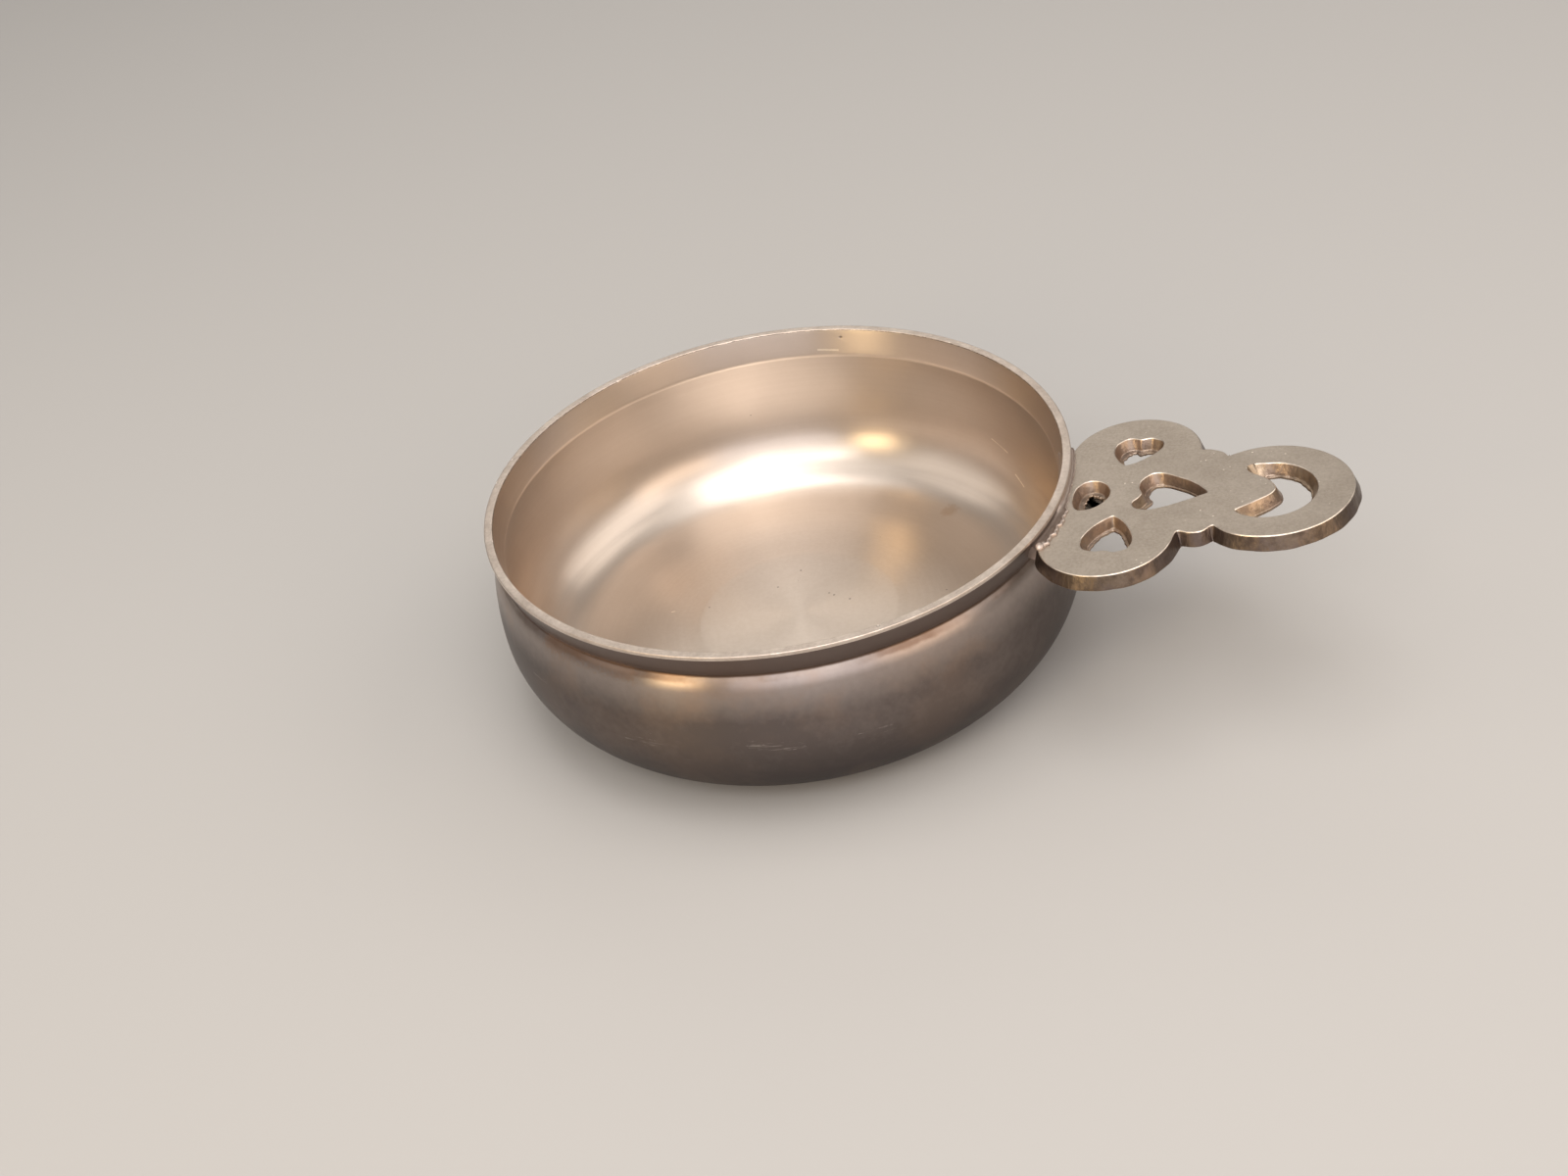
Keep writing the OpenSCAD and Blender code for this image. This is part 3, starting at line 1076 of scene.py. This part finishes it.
def make_materials() -> None:
    """Makes every effect, then every finish."""
    for make_effect in (
        make_round_axis,
        make_lathe_rings,
        make_tarnish,
        make_pores,
        make_scratches,
        make_turned_line,
        make_single_mark,
    ):
        make_effect()
    for finish in FINISHES:
        finish.material()


def coat(piece: bpy.types.Object, *metals: Metal) -> None:
    """Gives a piece the materials of its finishes, in order."""
    for metal in metals:
        piece.data.materials.append(bpy.data.materials[metal.value])


@dataclass
class Bowl:
    """The turned bowl: lip, collar, shoulder, belly, floor and foot.

    Attributes:
        lip_r: Outer radius of the lip.
        lip_w: Width of its flat top.
        lip_edge: Height of its upright edge.
        height: Height of the lip.
        neck: Radius and height of the collar's foot.
        ridge: Radius and height of the ridge inside.
        belly_r: Greatest radius of the belly.
        low_round: Radius of the belly's lower curve.
        long_round: Radius of its long upper curve.
        shoulder_round: Radius of the shoulder.
        hollow_r: Greatest radius inside.
        hollow_low: Radius of the lower curve inside.
        hollow_long: Radius of the long upper curve inside.
        waist_z: Height of the widest line.
        floor_z: Height of the floor.
        boss_z: Height of the boss.
        boss_r: Radius of the boss.
        boss_slope: Width of its sloping edge underneath.
        boss_edge: Width of its edge above.
        step: Height of the small step there, up to which the floor rises.
        foot_r: Inner radius of the foot ring.
        recess: Depth of the recess under the floor.
        boss_t: Thickness of the metal in the boss.
        floor_reach: Radius within which faces above the floor belong to the inside.
        steps: Number of steps round.
    """

    lip_r: float = 60.0
    lip_w: float = 1.7
    lip_edge: float = 0.8
    height: float = 41.5
    neck: Point = (58.3, 35.9)
    ridge: Point = (57.1, 35.4)
    belly_r: float = 61.15
    low_round: float = 21.5
    long_round: float = 60.0
    shoulder_round: float = 6.5
    hollow_r: float = 59.8
    hollow_low: float = 20.0
    hollow_long: float = 40.5
    waist_z: float = 20.85
    floor_z: float = 3.2
    boss_z: float = 5.3
    boss_r: float = 21.8
    boss_slope: float = 3.2
    boss_edge: float = 0.9
    step: float = 0.2
    foot_r: float = 39.0
    recess: float = 1.3
    boss_t: float = 2.4
    floor_reach: float = 50.0
    steps: int = 288

    def section(self) -> Ring:
        """The bowl's worn section, from the middle of the underside to the middle of the floor."""
        under_z = self.boss_z - self.boss_t
        under = [
            (0.0, under_z),
            (self.boss_r - self.boss_t / 2, under_z),
            (self.boss_r + self.boss_slope - self.boss_t / 2, self.recess),
            (self.foot_r - self.recess, self.recess),
            (self.foot_r, 0.0),
        ]
        low_mid = (self.belly_r - self.low_round, self.waist_z)
        long_mid = (self.belly_r - self.long_round, self.waist_z)
        inset = self.long_round - self.shoulder_round
        shoulder_mid = meet(long_mid, inset, self.neck, self.shoulder_round, -1)
        touch, neck_turn = angle_to(long_mid, shoulder_mid), angle_to(shoulder_mid, self.neck)
        contact = -math.degrees(math.asin(self.waist_z / self.low_round))
        belly = [
            *arc(low_mid, self.low_round, contact, 0, 60),
            *arc(long_mid, self.long_round, 0, touch, 40)[1:],
            *arc(shoulder_mid, self.shoulder_round, touch, neck_turn, 20)[1:],
        ]
        lip = [
            (self.lip_r, self.height - self.lip_edge),
            (self.lip_r, self.height),
            (self.lip_r - self.lip_w, self.height),
        ]
        inner_low = (self.hollow_r - self.hollow_low, self.waist_z)
        inner_long = (self.hollow_r - self.hollow_long, self.waist_z)
        floor_turn = -math.degrees(math.asin((self.waist_z - self.floor_z) / self.hollow_low))
        hollow = [
            *arc(inner_long, self.hollow_long, angle_to(inner_long, self.ridge), 0, 40),
            *arc(inner_low, self.hollow_low, 0, floor_turn, 60)[1:],
        ]
        boss = [
            (self.boss_r + self.boss_edge, self.boss_z - self.step),
            (self.boss_r, self.boss_z),
            (0.0, self.boss_z),
        ]
        corners = [
            *zip(under[1:], (0.8, 0.8, 0.5, 0.25)),
            (belly[0], 0.4),
            (self.neck, 0.32),
            *zip(lip, (0.16, 0.16, 0.14)),
            (self.ridge, 0.3),
            (hollow[-1], 4.5),
            *zip(boss, (0.5, 0.4)),
        ]
        return worn_section([*under, *belly, *lip, *hollow, *boss], corners)

    def build(self) -> bpy.types.Object:
        """Turns the bowl and dresses it.

        Returns:
            The finished piece.
        """
        piece = turned("pewter_bowl", self.section(), self.steps)
        face_outwards(piece)
        shade(piece, 40)
        self.dress(piece)
        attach(piece, "root")
        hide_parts("bowl")
        return piece

    def dress(self, piece: bpy.types.Object) -> None:
        """Gives the outside, the inside and the lip their finishes."""
        coat(piece, Metal.OUTSIDE, Metal.INSIDE, Metal.LIP)
        lip_z, lip_in = self.height - self.lip_edge - 0.05, self.lip_r - self.lip_w - 0.15
        for face in piece.data.polygons:
            x, y, z = (c / MM for c in face.center)
            away = math.hypot(x, y)
            inwards = face.normal.x * x + face.normal.y * y < -0.02 * away
            if z > lip_z and away > lip_in:
                face.material_index = 2
            elif z > self.floor_z - 0.15 and (inwards or away < self.floor_reach):
                face.material_index = 1


@dataclass(frozen=True)
class Piercing:
    """One opening of the handle, as it was cut, with the flash that the mould left at its foot.

    Attributes:
        name: What it is.
        rim: Its ring at the upper face.
        foot: Its ring lower down. Without one, the rim is drawn in by draft.
        draft: How far the walls lean in, in millimetres.
        flash: How far the flash stands in past the walls.
        shift: How far the opening through the flash is out of the middle.
        ragged: How uneven the flash is.
        ledge: Height of the flash's upper face.
        lip: How much higher it meets the wall.
    """

    name: str
    rim: Ring
    foot: Ring | None = None
    draft: float = 1.1
    flash: float = 0.5
    shift: Point = (0.0, 0.0)
    ragged: float = 0.16
    ledge: float = 0.55
    lip: float = 0.12

    def levels(self, thickness: float, past: float = 1.0, count: int = 96) -> Levels:
        """The cutter's rings.

        Args:
            thickness: The plate's thickness.
            past: How far the cutter runs past both faces.
            count: The number of points of each ring.

        Returns:
            Each ring with its height.
        """
        rim = rounded_ring(self.rim, 0.4, count)
        foot = rounded_ring(self.foot, 0.4, count) if self.foot else scaled_ring(rim, self.draft)
        top, low = np.array(rim), np.array(foot)
        high = top + (top - low) * past / thickness
        on_ledge = low + (top - low) * self.ledge / thickness
        middle = low.mean(axis=0)
        inwards = (middle - low) / np.hypot(*(middle - low).T)[:, None]
        turn = evenly_round(count)
        uneven = np.sin(5 * turn + 3 * self.flash) + 0.7 * np.sin(11 * turn + 9 * self.draft)
        uneven += 0.5 * np.sin(23 * turn)
        drawn = self.flash + self.ragged * uneven + inwards @ np.array(self.shift)
        through = low + inwards * np.maximum(drawn, 0.05)[:, None]
        rings = (
            (through, -past),
            (through, self.ledge),
            (on_ledge, self.ledge + self.lip),
            (top, thickness),
            (high, thickness + past),
        )
        return [(as_ring(ring), z) for ring, z in rings]


PIERCINGS = [
    Piercing(
        "near_heart",
        [
            (70.5, -7.5), (69.5, -8.4), (68.3, -9.6), (67.2, -11.1), (66.3, -12.9), (65.7, -14.8),
            (65.8, -17.0), (66.5, -18.3), (67.8, -18.9), (69.3, -19.1), (70.3, -18.7),
            (71.2, -18.8), (72.4, -19.4), (73.6, -19.0), (74.8, -18.4), (75.4, -16.6),
            (75.3, -14.7), (74.5, -12.5), (73.1, -10.0), (71.8, -8.5),
        ],
        flash=0.35,
        ragged=0.08,
    ),
    Piercing(
        "far_heart",
        [
            (67.1, 17.4), (68.3, 18.8), (69.4, 19.3), (70.4, 19.2), (71.6, 18.6), (72.5, 19.0),
            (73.8, 19.3), (74.9, 18.7), (75.9, 18.3), (76.3, 17.2), (76.3, 15.8), (75.4, 14.1),
            (73.7, 12.1), (71.8, 10.4), (70.0, 9.5), (68.7, 10.6), (67.6, 12.4), (66.9, 14.2),
            (66.8, 16.0),
        ],
        flash=0.6,
        shift=(0.0, -0.35),
    ),
    Piercing(
        "middle_heart",
        [
            (73.8, 1.8), (73.8, 3.8), (74.7, 5.5), (75.8, 6.6), (77.5, 6.7), (79.5, 5.9),
            (80.9, 5.1), (83.0, 4.0), (85.1, 2.3), (86.6, 0.6), (87.3, -0.5), (86.1, -1.1),
            (84.4, -2.3), (82.2, -3.5), (80.0, -4.7), (78.5, -5.3), (76.5, -5.9), (75.0, -5.5),
            (74.0, -5.2), (73.2, -3.8), (73.4, -2.8), (74.2, -1.9), (74.8, -0.3),
        ],
        flash=0.45,
        shift=(0.5, 0.5),
        ragged=0.1,
    ),
    Piercing(
        "round_hole",
        [
            (61.6, -2.7), (61.4, 0.0), (61.7, 2.1), (62.8, 3.8), (64.2, 4.4), (66.0, 4.2),
            (67.5, 3.1), (68.5, 1.0), (68.6, -1.0), (68.0, -2.6), (66.9, -4.2), (65.6, -5.2),
            (64.3, -5.6), (63.1, -5.6), (62.3, -4.7),
        ],
        draft=1.2,
        flash=0.8,
        shift=(0.2, 0.1),
        ragged=0.22,
    ),
    Piercing(
        "crescent",
        [
            (92.5, -6.5), (92.9, -7.0), (93.6, -7.6), (94.8, -8.2), (96.7, -8.85),
            *arc((98.2, 0.0), 9.0, -92, 100, 40), (95.4, 9.0), (94.2, 8.7), (93.5, 8.2),
            (93.2, 7.5), (93.5, 6.8), (94.2, 6.1), (95.1, 5.4), (96.6, 4.5), (97.8, 3.6),
            (98.7, 2.5), (99.3, 1.3), (99.5, 0.2), (99.2, -0.7), (98.6, -1.5), (97.8, -2.3),
            (96.8, -3.1), (95.6, -4.1), (94.3, -5.1), (93.0, -6.1),
        ],
        foot=[
            (95.3, -6.3), (95.6, -6.8), (96.8, -7.5), *arc((98.2, 0.0), 7.8, -92, 96, 40),
            (96.4, 7.2), (95.8, 6.8), (95.6, 6.4), (96.4, 5.9), (98.0, 4.9), (99.4, 3.6),
            (100.4, 2.0), (100.8, 0.4), (100.6, -0.8), (99.8, -2.0), (98.8, -3.1), (97.6, -4.2),
            (96.2, -5.4),
        ],
        flash=0.25,
        ragged=0.12,
    ),
]


@dataclass
class PiercedHandle:
    """The flat cast handle, drawn lying flat and then tilted about the lip.

    Attributes:
        lip_r: Radius of the lip, at which the handle is hinged up.
        thickness: Thickness of the plate.
        top_z: Height of its upper face at the lip.
        rise: Its tilt in degrees.
        draft: How much wider the outline is at the lower face.
        lobe: Middle of the side lobe on the +Y side.
        near_lobe: Middle of the other side lobe, which came out nearer the bowl.
        lobe_r: Radius of the side lobes.
        end: Middle of the round end.
        end_r: Radius of the round end.
        root_r: Radius to which the root is hollowed.
        edge: Width to which the arrises are worn.
        side_gap: How far in from the outline a wall still belongs to the outer side.
    """

    lip_r: float = 60.0
    thickness: float = 2.9
    top_z: float = 39.5
    rise: float = 5.0
    draft: float = 1.0
    lobe: Point = (71.3, 13.6)
    near_lobe: Point = (70.0, -14.1)
    lobe_r: float = 12.65
    end: Point = (98.7, 0.0)
    end_r: float = 15.0
    root_r: float = 60.6
    edge: float = 0.2
    side_gap: float = 1.3

    def outline(self) -> Ring:
        """The sharp outline of the upper face, counter-clockwise from the round end."""
        far_waist = [
            (89.4, 11.9), (88.7, 12.9), (88.0, 13.6), (86.6, 14.2), (85.6, 14.5), (84.0, 14.5),
        ]
        near_waist = [
            (93.4, -14.0), (92.0, -13.3), (90.9, -12.4), (90.2, -11.7), (89.6, -11.1),
            (89.2, -11.2), (88.6, -12.0), (88.0, -12.8), (87.4, -13.3), (86.4, -13.5),
            (85.2, -13.4), (84.2, -13.0), (83.4, -12.75), (82.95, -12.95), (82.7, -13.8),
            (82.6, -14.6),
        ]
        near = self.side(self.near_lobe, near_waist)
        return [*self.side(self.lobe, far_waist), *reversed(near[1:])]

    def side(self, lobe: Point, waist: Ring) -> Ring:
        """Half of the outline, from the middle of the round end to the root.

        Args:
            lobe: Middle of its lobe.
            waist: The waist's uneven edge, from the round end to the lobe.

        Returns:
            The points in order.
        """
        way = math.copysign(180, lobe[1])
        return [
            *arc(self.end, self.end_r, 0, angle_to(self.end, waist[0]), 60),
            *waist[1:-1],
            *arc(lobe, self.lobe_r, angle_to(lobe, waist[-1]), way, 80),
            (self.lip_r - 7.0, lobe[1] * 0.85),
        ]

    def levels(self, count: int = 420) -> Levels:
        """The plate's lower ring, softer and wider by the draft, and its upper ring.

        Args:
            count: The number of points of each.

        Returns:
            Each ring with its height.
        """
        sharp = self.outline()
        soft = np.array(rounded_ring(sharp, 0.9, count))
        along = np.roll(soft, -1, axis=0) - np.roll(soft, 1, axis=0)
        outwards = np.stack([along[:, 1], -along[:, 0]], axis=1) / np.hypot(*along.T)[:, None]
        turn = evenly_round(count)
        uneven = 1 + 0.07 * np.sin(17 * turn) + 0.05 * np.sin(41 * turn + 1)
        low = soft + outwards * self.draft * uneven[:, None]
        return [(as_ring(low), 0.0), (rounded_ring(sharp, 0.2, count), self.thickness)]

    def build(self) -> bpy.types.Object:
        """Models the handle and dresses it.

        Returns:
            The finished piece.
        """
        piece = lofted("pierced_handle", self.levels())
        for hole in PIERCINGS:
            combine(piece, "DIFFERENCE", lofted(hole.name, hole.levels(self.thickness)))
        self.tilt(piece)
        lay_down_tools()
        bpy.ops.mesh.primitive_cylinder_add(vertices=360, radius=self.root_r * MM, depth=0.2)
        combine(piece, "DIFFERENCE", bpy.context.object)
        modified(
            piece,
            "BEVEL",
            width=self.edge * MM,
            segments=3,
            limit_method="ANGLE",
            angle_limit=math.radians(50),
            use_clamp_overlap=False,
        )
        shade(piece, 35)
        modified(piece, "WEIGHTED_NORMAL", keep_sharp=True, weight=80)
        self.dress(piece)
        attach(piece, "root")
        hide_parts("handle")
        return piece

    def hinge(self) -> Vector:
        """The place at the lip about which the plate is tilted."""
        return Vector((self.lip_r, 0, self.top_z)) * MM

    def tilt(self, piece: bpy.types.Object) -> None:
        """Lifts the plate to its height and tilts it about the lip."""
        open_whole(piece)
        bpy.ops.transform.translate(value=(0, 0, (self.top_z - self.thickness) * MM))
        lay_down_tools()
        there, back = Matrix.Translation(self.hinge()), Matrix.Translation(-self.hinge())
        piece.matrix_world = there @ Matrix.Rotation(math.radians(-self.rise), 4, "Y") @ back
        settle(piece)

    def dress(self, piece: bpy.types.Object) -> None:
        """Gives the faces, the walls and the arrises their finishes, and the outer side walls a
        darker copy of the walls' finish, painted shade.
        """
        coat(piece, Metal.CAST, Metal.WALLS, Metal.ARRIS, Metal.SIDES)
        rim = respaced(self.outline(), 900, True)
        tilt = math.radians(self.rise)
        up = Vector((-math.sin(tilt), 0, math.cos(tilt)))
        for face in piece.data.polygons:
            depth = (self.hinge() - face.center) @ up / MM
            from_face = min(depth, self.thickness - depth)
            level = abs(face.normal @ up)
            if level > 0.97 and from_face < 0.05:
                face.material_index = 0
            elif level > 0.3 and from_face < self.edge + 0.02:
                face.material_index = 2
            else:
                gap = np.hypot(*(rim - np.array(face.center.xy) / MM).T).min()
                # The outer side walls take the darker copy of the walls' finish: painted shade.
                face.material_index = 3 if gap < self.side_gap else 1


@dataclass
class SolderSeam:
    """The hollow-faced solder between collar and handle.

    Attributes:
        inner_r: Radius at which it starts, inside the collar's metal.
        inner_z: Height of its upper face there.
        root_r: Radius of the handle's root.
        collar_r: Radius outside which it is free of the collar.
        crest_r: Radius from which its crest narrows.
        low_z: Height of its lower face.
        top_z: Height of the handle's upper face at the lip.
        lip_r: Radius of the lip.
        slope: The handle's rise for each millimetre outwards.
        half: Angle at which it ends on the near side, in degrees.
        far: Angle at which it ends on the far side.
        turn: Angle at which it goes over from the full near crest to the thin far one.
        run_out: Angle over which it tapers at each end.
        crest: Its upper face, outwards of the root and above the handle, from the handle in.
    """

    inner_r: float = 57.5
    inner_z: float = 38.5
    root_r: float = 60.6
    collar_r: float = 59.0
    crest_r: float = 59.9
    low_z: float = 36.7
    top_z: float = 39.5
    lip_r: float = 60.0
    slope: float = 0.087
    half: float = 17.4
    far: float = 16.0
    turn: float = -4.5
    run_out: float = 1.6
    crest: tuple[Point, ...] = (
        (0.0, -0.3), (1.55, -0.1), (1.52, 0.15), (1.42, 0.34), (1.27, 0.45), (1.1, 0.47),
        (0.95, 0.36), (0.75, 0.2), (0.5, 0.11), (0.2, 0.09), (-0.1, 0.12), (-0.4, 0.28),
        (-0.63, 0.62), (-0.85, 1.0),
    )

    def build(self) -> bpy.types.Object:
        """Models the solder and dresses it.

        Returns:
            The finished piece.
        """
        section = [
            (self.inner_r, self.low_z),
            (self.root_r, self.low_z),
            *((self.root_r + out, self.top_z + up) for out, up in self.crest),
            (self.inner_r, self.inner_z),
            (self.inner_r, self.low_z),
        ]
        piece = turned("solder_fillet", section, 150, -self.half, self.half + self.far)
        weld(piece)
        for angle in (-self.half, self.far):
            edge = Matrix.Rotation(math.radians(angle), 3, "Z") @ Vector((0, 1, 0))
            select_corners(piece, lambda co, edge=edge: abs(co @ edge) < NEAR * MM)
            bpy.ops.mesh.edge_face_add()
        face_outwards(piece)
        self.thin(piece)
        self.add_beads(piece)
        self.roughen(piece)
        shade(piece, 50)
        coat(piece, Metal.SOLDER)
        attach(piece, "root")
        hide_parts("solder_seam")
        return piece

    def thin(self, piece: bpy.types.Object) -> None:
        """Narrows and flattens the crest, little at the near end and much at the far end."""
        for corner in piece.data.vertices:
            x, y, z = (c / MM for c in corner.co)
            radius, angle = math.hypot(x, y), math.degrees(math.atan2(y, x))
            if radius < self.collar_r or z < self.top_z - 0.2:
                continue
            near = 1 / (1 + math.exp((angle - self.turn) / 1.3))
            wobble = 1 + 0.1 * math.sin(angle * 1.9) + 0.07 * math.sin(angle * 4.3)
            width = (0.36 + 0.64 * near) * wobble
            left = min(1, (self.far - angle if angle > 0 else self.half + angle) / self.run_out)
            end = max(0.0, 1 - (1 - left) ** 2)
            out = radius - self.crest_r
            reach = self.crest_r + max(out, 0) * width * max(end, 0.15) + min(out, 0)
            flat = 1 - 0.9 * near if radius < self.root_r else 0.3 + 0.7 * near
            rise = (z - self.top_z) * flat * max(end, 0.3)
            z = self.top_z + (reach - self.lip_r) * self.slope - 0.03 + rise
            corner.co = (x * reach / radius * MM, y * reach / radius * MM, z * MM)

    def add_beads(self, piece: bpy.types.Object) -> None:
        """Adds the bright beads of solder at the near end of the root."""
        for turn, out, radius in ((0.5, 0.4, 1.0), (1.3, 0.75, 0.75)):
            lay_down_tools()
            spot = Vector((self.root_r + out, 0, self.top_z + 0.05)) * MM
            spot.rotate(Matrix.Rotation(math.radians(turn - self.half), 3, "Z"))
            bpy.ops.mesh.primitive_uv_sphere_add(
                segments=32, ring_count=18, radius=radius * MM, location=spot
            )
            bead = bpy.context.object
            bead.scale = (1.0, 1.1, 0.75)
            settle(bead)
            combine(piece, "UNION", bead)

    def roughen(self, piece: bpy.types.Object) -> None:
        """Makes the solder lumpy, as it ran and was filed."""
        lumps = bpy.data.textures.new("solder_lumps", "CLOUDS")
        lumps.noise_scale = 1.0 * MM
        lumps.noise_depth = 2
        settings = {"texture_coords": "LOCAL", "strength": 0.08 * MM, "mid_level": 0.5}
        modified(piece, "DISPLACE", texture=lumps, **settings)


# Studio


@dataclass(frozen=True)
class Lamp:
    """A soft lamp over the porringer.

    Attributes:
        name: Its name.
        bearing: The direction it stands in, in degrees from +X towards +Y.
        height: Its elevation in degrees.
        far: Its distance in metres.
        size: Width and height in metres.
        power: Its power in watts.
        colour: Its colour.
    """

    name: str
    bearing: float
    height: float
    far: float
    size: Point
    power: float
    colour: Colour

    def hang(self) -> None:
        """Hangs the lamp and points it at the bowl."""
        lay_down_tools()
        b, h = math.radians(self.bearing), math.radians(self.height)
        way = Vector((math.cos(b) * math.cos(h), math.sin(b) * math.cos(h), math.sin(h)))
        bpy.ops.object.light_add(type="AREA", location=way * self.far + LIT_PLACE)
        lamp = bpy.context.object
        lamp.name = self.name
        lamp.rotation_euler = way.to_track_quat("Z", "Y").to_euler()
        lamp.data.shape = "RECTANGLE"
        lamp.data.size, lamp.data.size_y = self.size
        lamp.data.energy = self.power
        lamp.data.color = self.colour


LIT_PLACE = Vector((0, 0, 0.03))  # where the lamps point, in metres
LAMPS = (
    Lamp("window", -40, 74, 0.85, (0.42, 1.05), 3.1, (1.0, 0.97, 0.94)),
    Lamp("ceiling", -80, 80, 1.1, (1.2, 1.15), 3.1, (1.0, 0.95, 0.9)),
    Lamp("front_high", -80, 47, 1.0, (0.7, 0.3), 2.3, (1.0, 0.96, 0.92)),
    Lamp("front_left", -113, 17, 0.9, (0.23, 0.5), 1.9, (1.0, 0.75, 0.43)),
    Lamp("front", -68, 17, 0.9, (0.86, 0.5), 1.9, (1.0, 0.94, 0.96)),
    Lamp("front_right", -24, 17, 0.9, (0.55, 0.5), 1.75, (1.0, 0.78, 0.6)),
    Lamp("back_sheet", 112, 35, 1.2, (0.8, 0.5), 1.35, (1.0, 0.95, 0.88)),
    Lamp("right_sheet", 20, 39, 1.2, (1.2, 0.7), 3.8, (1.0, 0.91, 0.83)),
    Lamp("left_sheet", -160, 39, 1.2, (1.0, 0.7), 1.9, (1.0, 0.91, 0.82)),
)


@dataclass
class Studio:
    """Floor, world, lamps and camera.

    Attributes:
        floor_colour: Colour of the pale floor.
        world_colour: Colour of the surroundings.
        world_strength: Their strength.
        bearing: The camera's turn about the bowl, in degrees from -Y towards +X.
        height: Its elevation in degrees.
        roll: Its roll in degrees.
        lip_z: Height of the lip.
        lip_seen: The lip's middle as the camera has it: to the right, up and towards it.
        lens: Its focal length in millimetres.
        sensor: Width of its sensor in millimetres.
    """

    floor_colour: Colour = (0.46, 0.452, 0.443)
    world_colour: Colour = (1.0, 0.96, 0.92)
    world_strength: float = 0.33
    bearing: float = 24.243
    height: float = 35.7416
    roll: float = -10.7361
    lip_z: float = 41.5
    lip_seen: Spot = (-2.1669, 23.724, -378.9277)
    lens: float = 42.75
    sensor: float = 36.0

    def build(self) -> None:
        """Sets up the studio."""
        self.lay_floor()
        world = bpy.data.worlds.new("studio_air")
        bpy.context.scene.world = world
        world.use_nodes = True
        air = world.node_tree.nodes["Background"].inputs
        air["Color"].default_value = (*self.world_colour, 1)
        air["Strength"].default_value = self.world_strength
        for lamp in LAMPS:
            lamp.hang()
        self.set_camera()

    def lay_floor(self) -> None:
        """Lays the pale floor."""
        lay_down_tools()
        bpy.ops.mesh.primitive_plane_add(size=8, location=(0, 0, 0))
        floor = bpy.context.object
        floor.name = "studio_floor"
        made = bpy.data.materials.new("pale_floor")
        made.use_nodes = True
        shader = made.node_tree.nodes["Principled BSDF"].inputs
        shader["Base Color"].default_value = (*self.floor_colour, 1)
        shader["Roughness"].default_value = 0.9
        shader["Specular IOR Level"].default_value = 0.1
        floor.data.materials.append(made)

    def set_camera(self) -> None:
        """Sets the camera at the photograph's place and angle."""
        bearing, height, roll = (math.radians(a) for a in (self.bearing, self.height, self.roll))
        level = Vector((math.cos(bearing), math.sin(bearing), 0))
        ahead = Vector((-math.sin(bearing), math.cos(bearing), 0))
        back = math.sin(height) * Vector((0, 0, 1)) - math.cos(height) * ahead
        up = back.cross(level)
        right = math.cos(roll) * level + math.sin(roll) * up
        top = -math.sin(roll) * level + math.cos(roll) * up
        seen = Matrix((right, top, back)).transposed() @ Vector(self.lip_seen)
        lay_down_tools()
        bpy.ops.object.camera_add(location=(Vector((0, 0, self.lip_z)) - seen) * MM)
        camera = bpy.context.object
        camera.name = "photograph_view"
        camera.rotation_euler = Matrix((right, top, back)).transposed().to_euler()
        camera.data.sensor_width = self.sensor
        camera.data.lens = self.lens
        camera.data.clip_start = 0.01
        bpy.context.scene.camera = camera


def main() -> None:
    """Builds the pieces in order, reports each and sets up the studio."""
    logging.basicConfig(level=logging.INFO, format="%(name)s: %(message)s")
    make_materials()
    for maker in (Bowl(), PiercedHandle(), SolderSeam()):
        piece = maker.build()
        log.info("%s: %d faces", piece.name, len(piece.data.polygons))
    Studio().build()
    bpy.context.scene.view_settings.view_transform = "Standard"


if __name__ == "__main__":
    main()
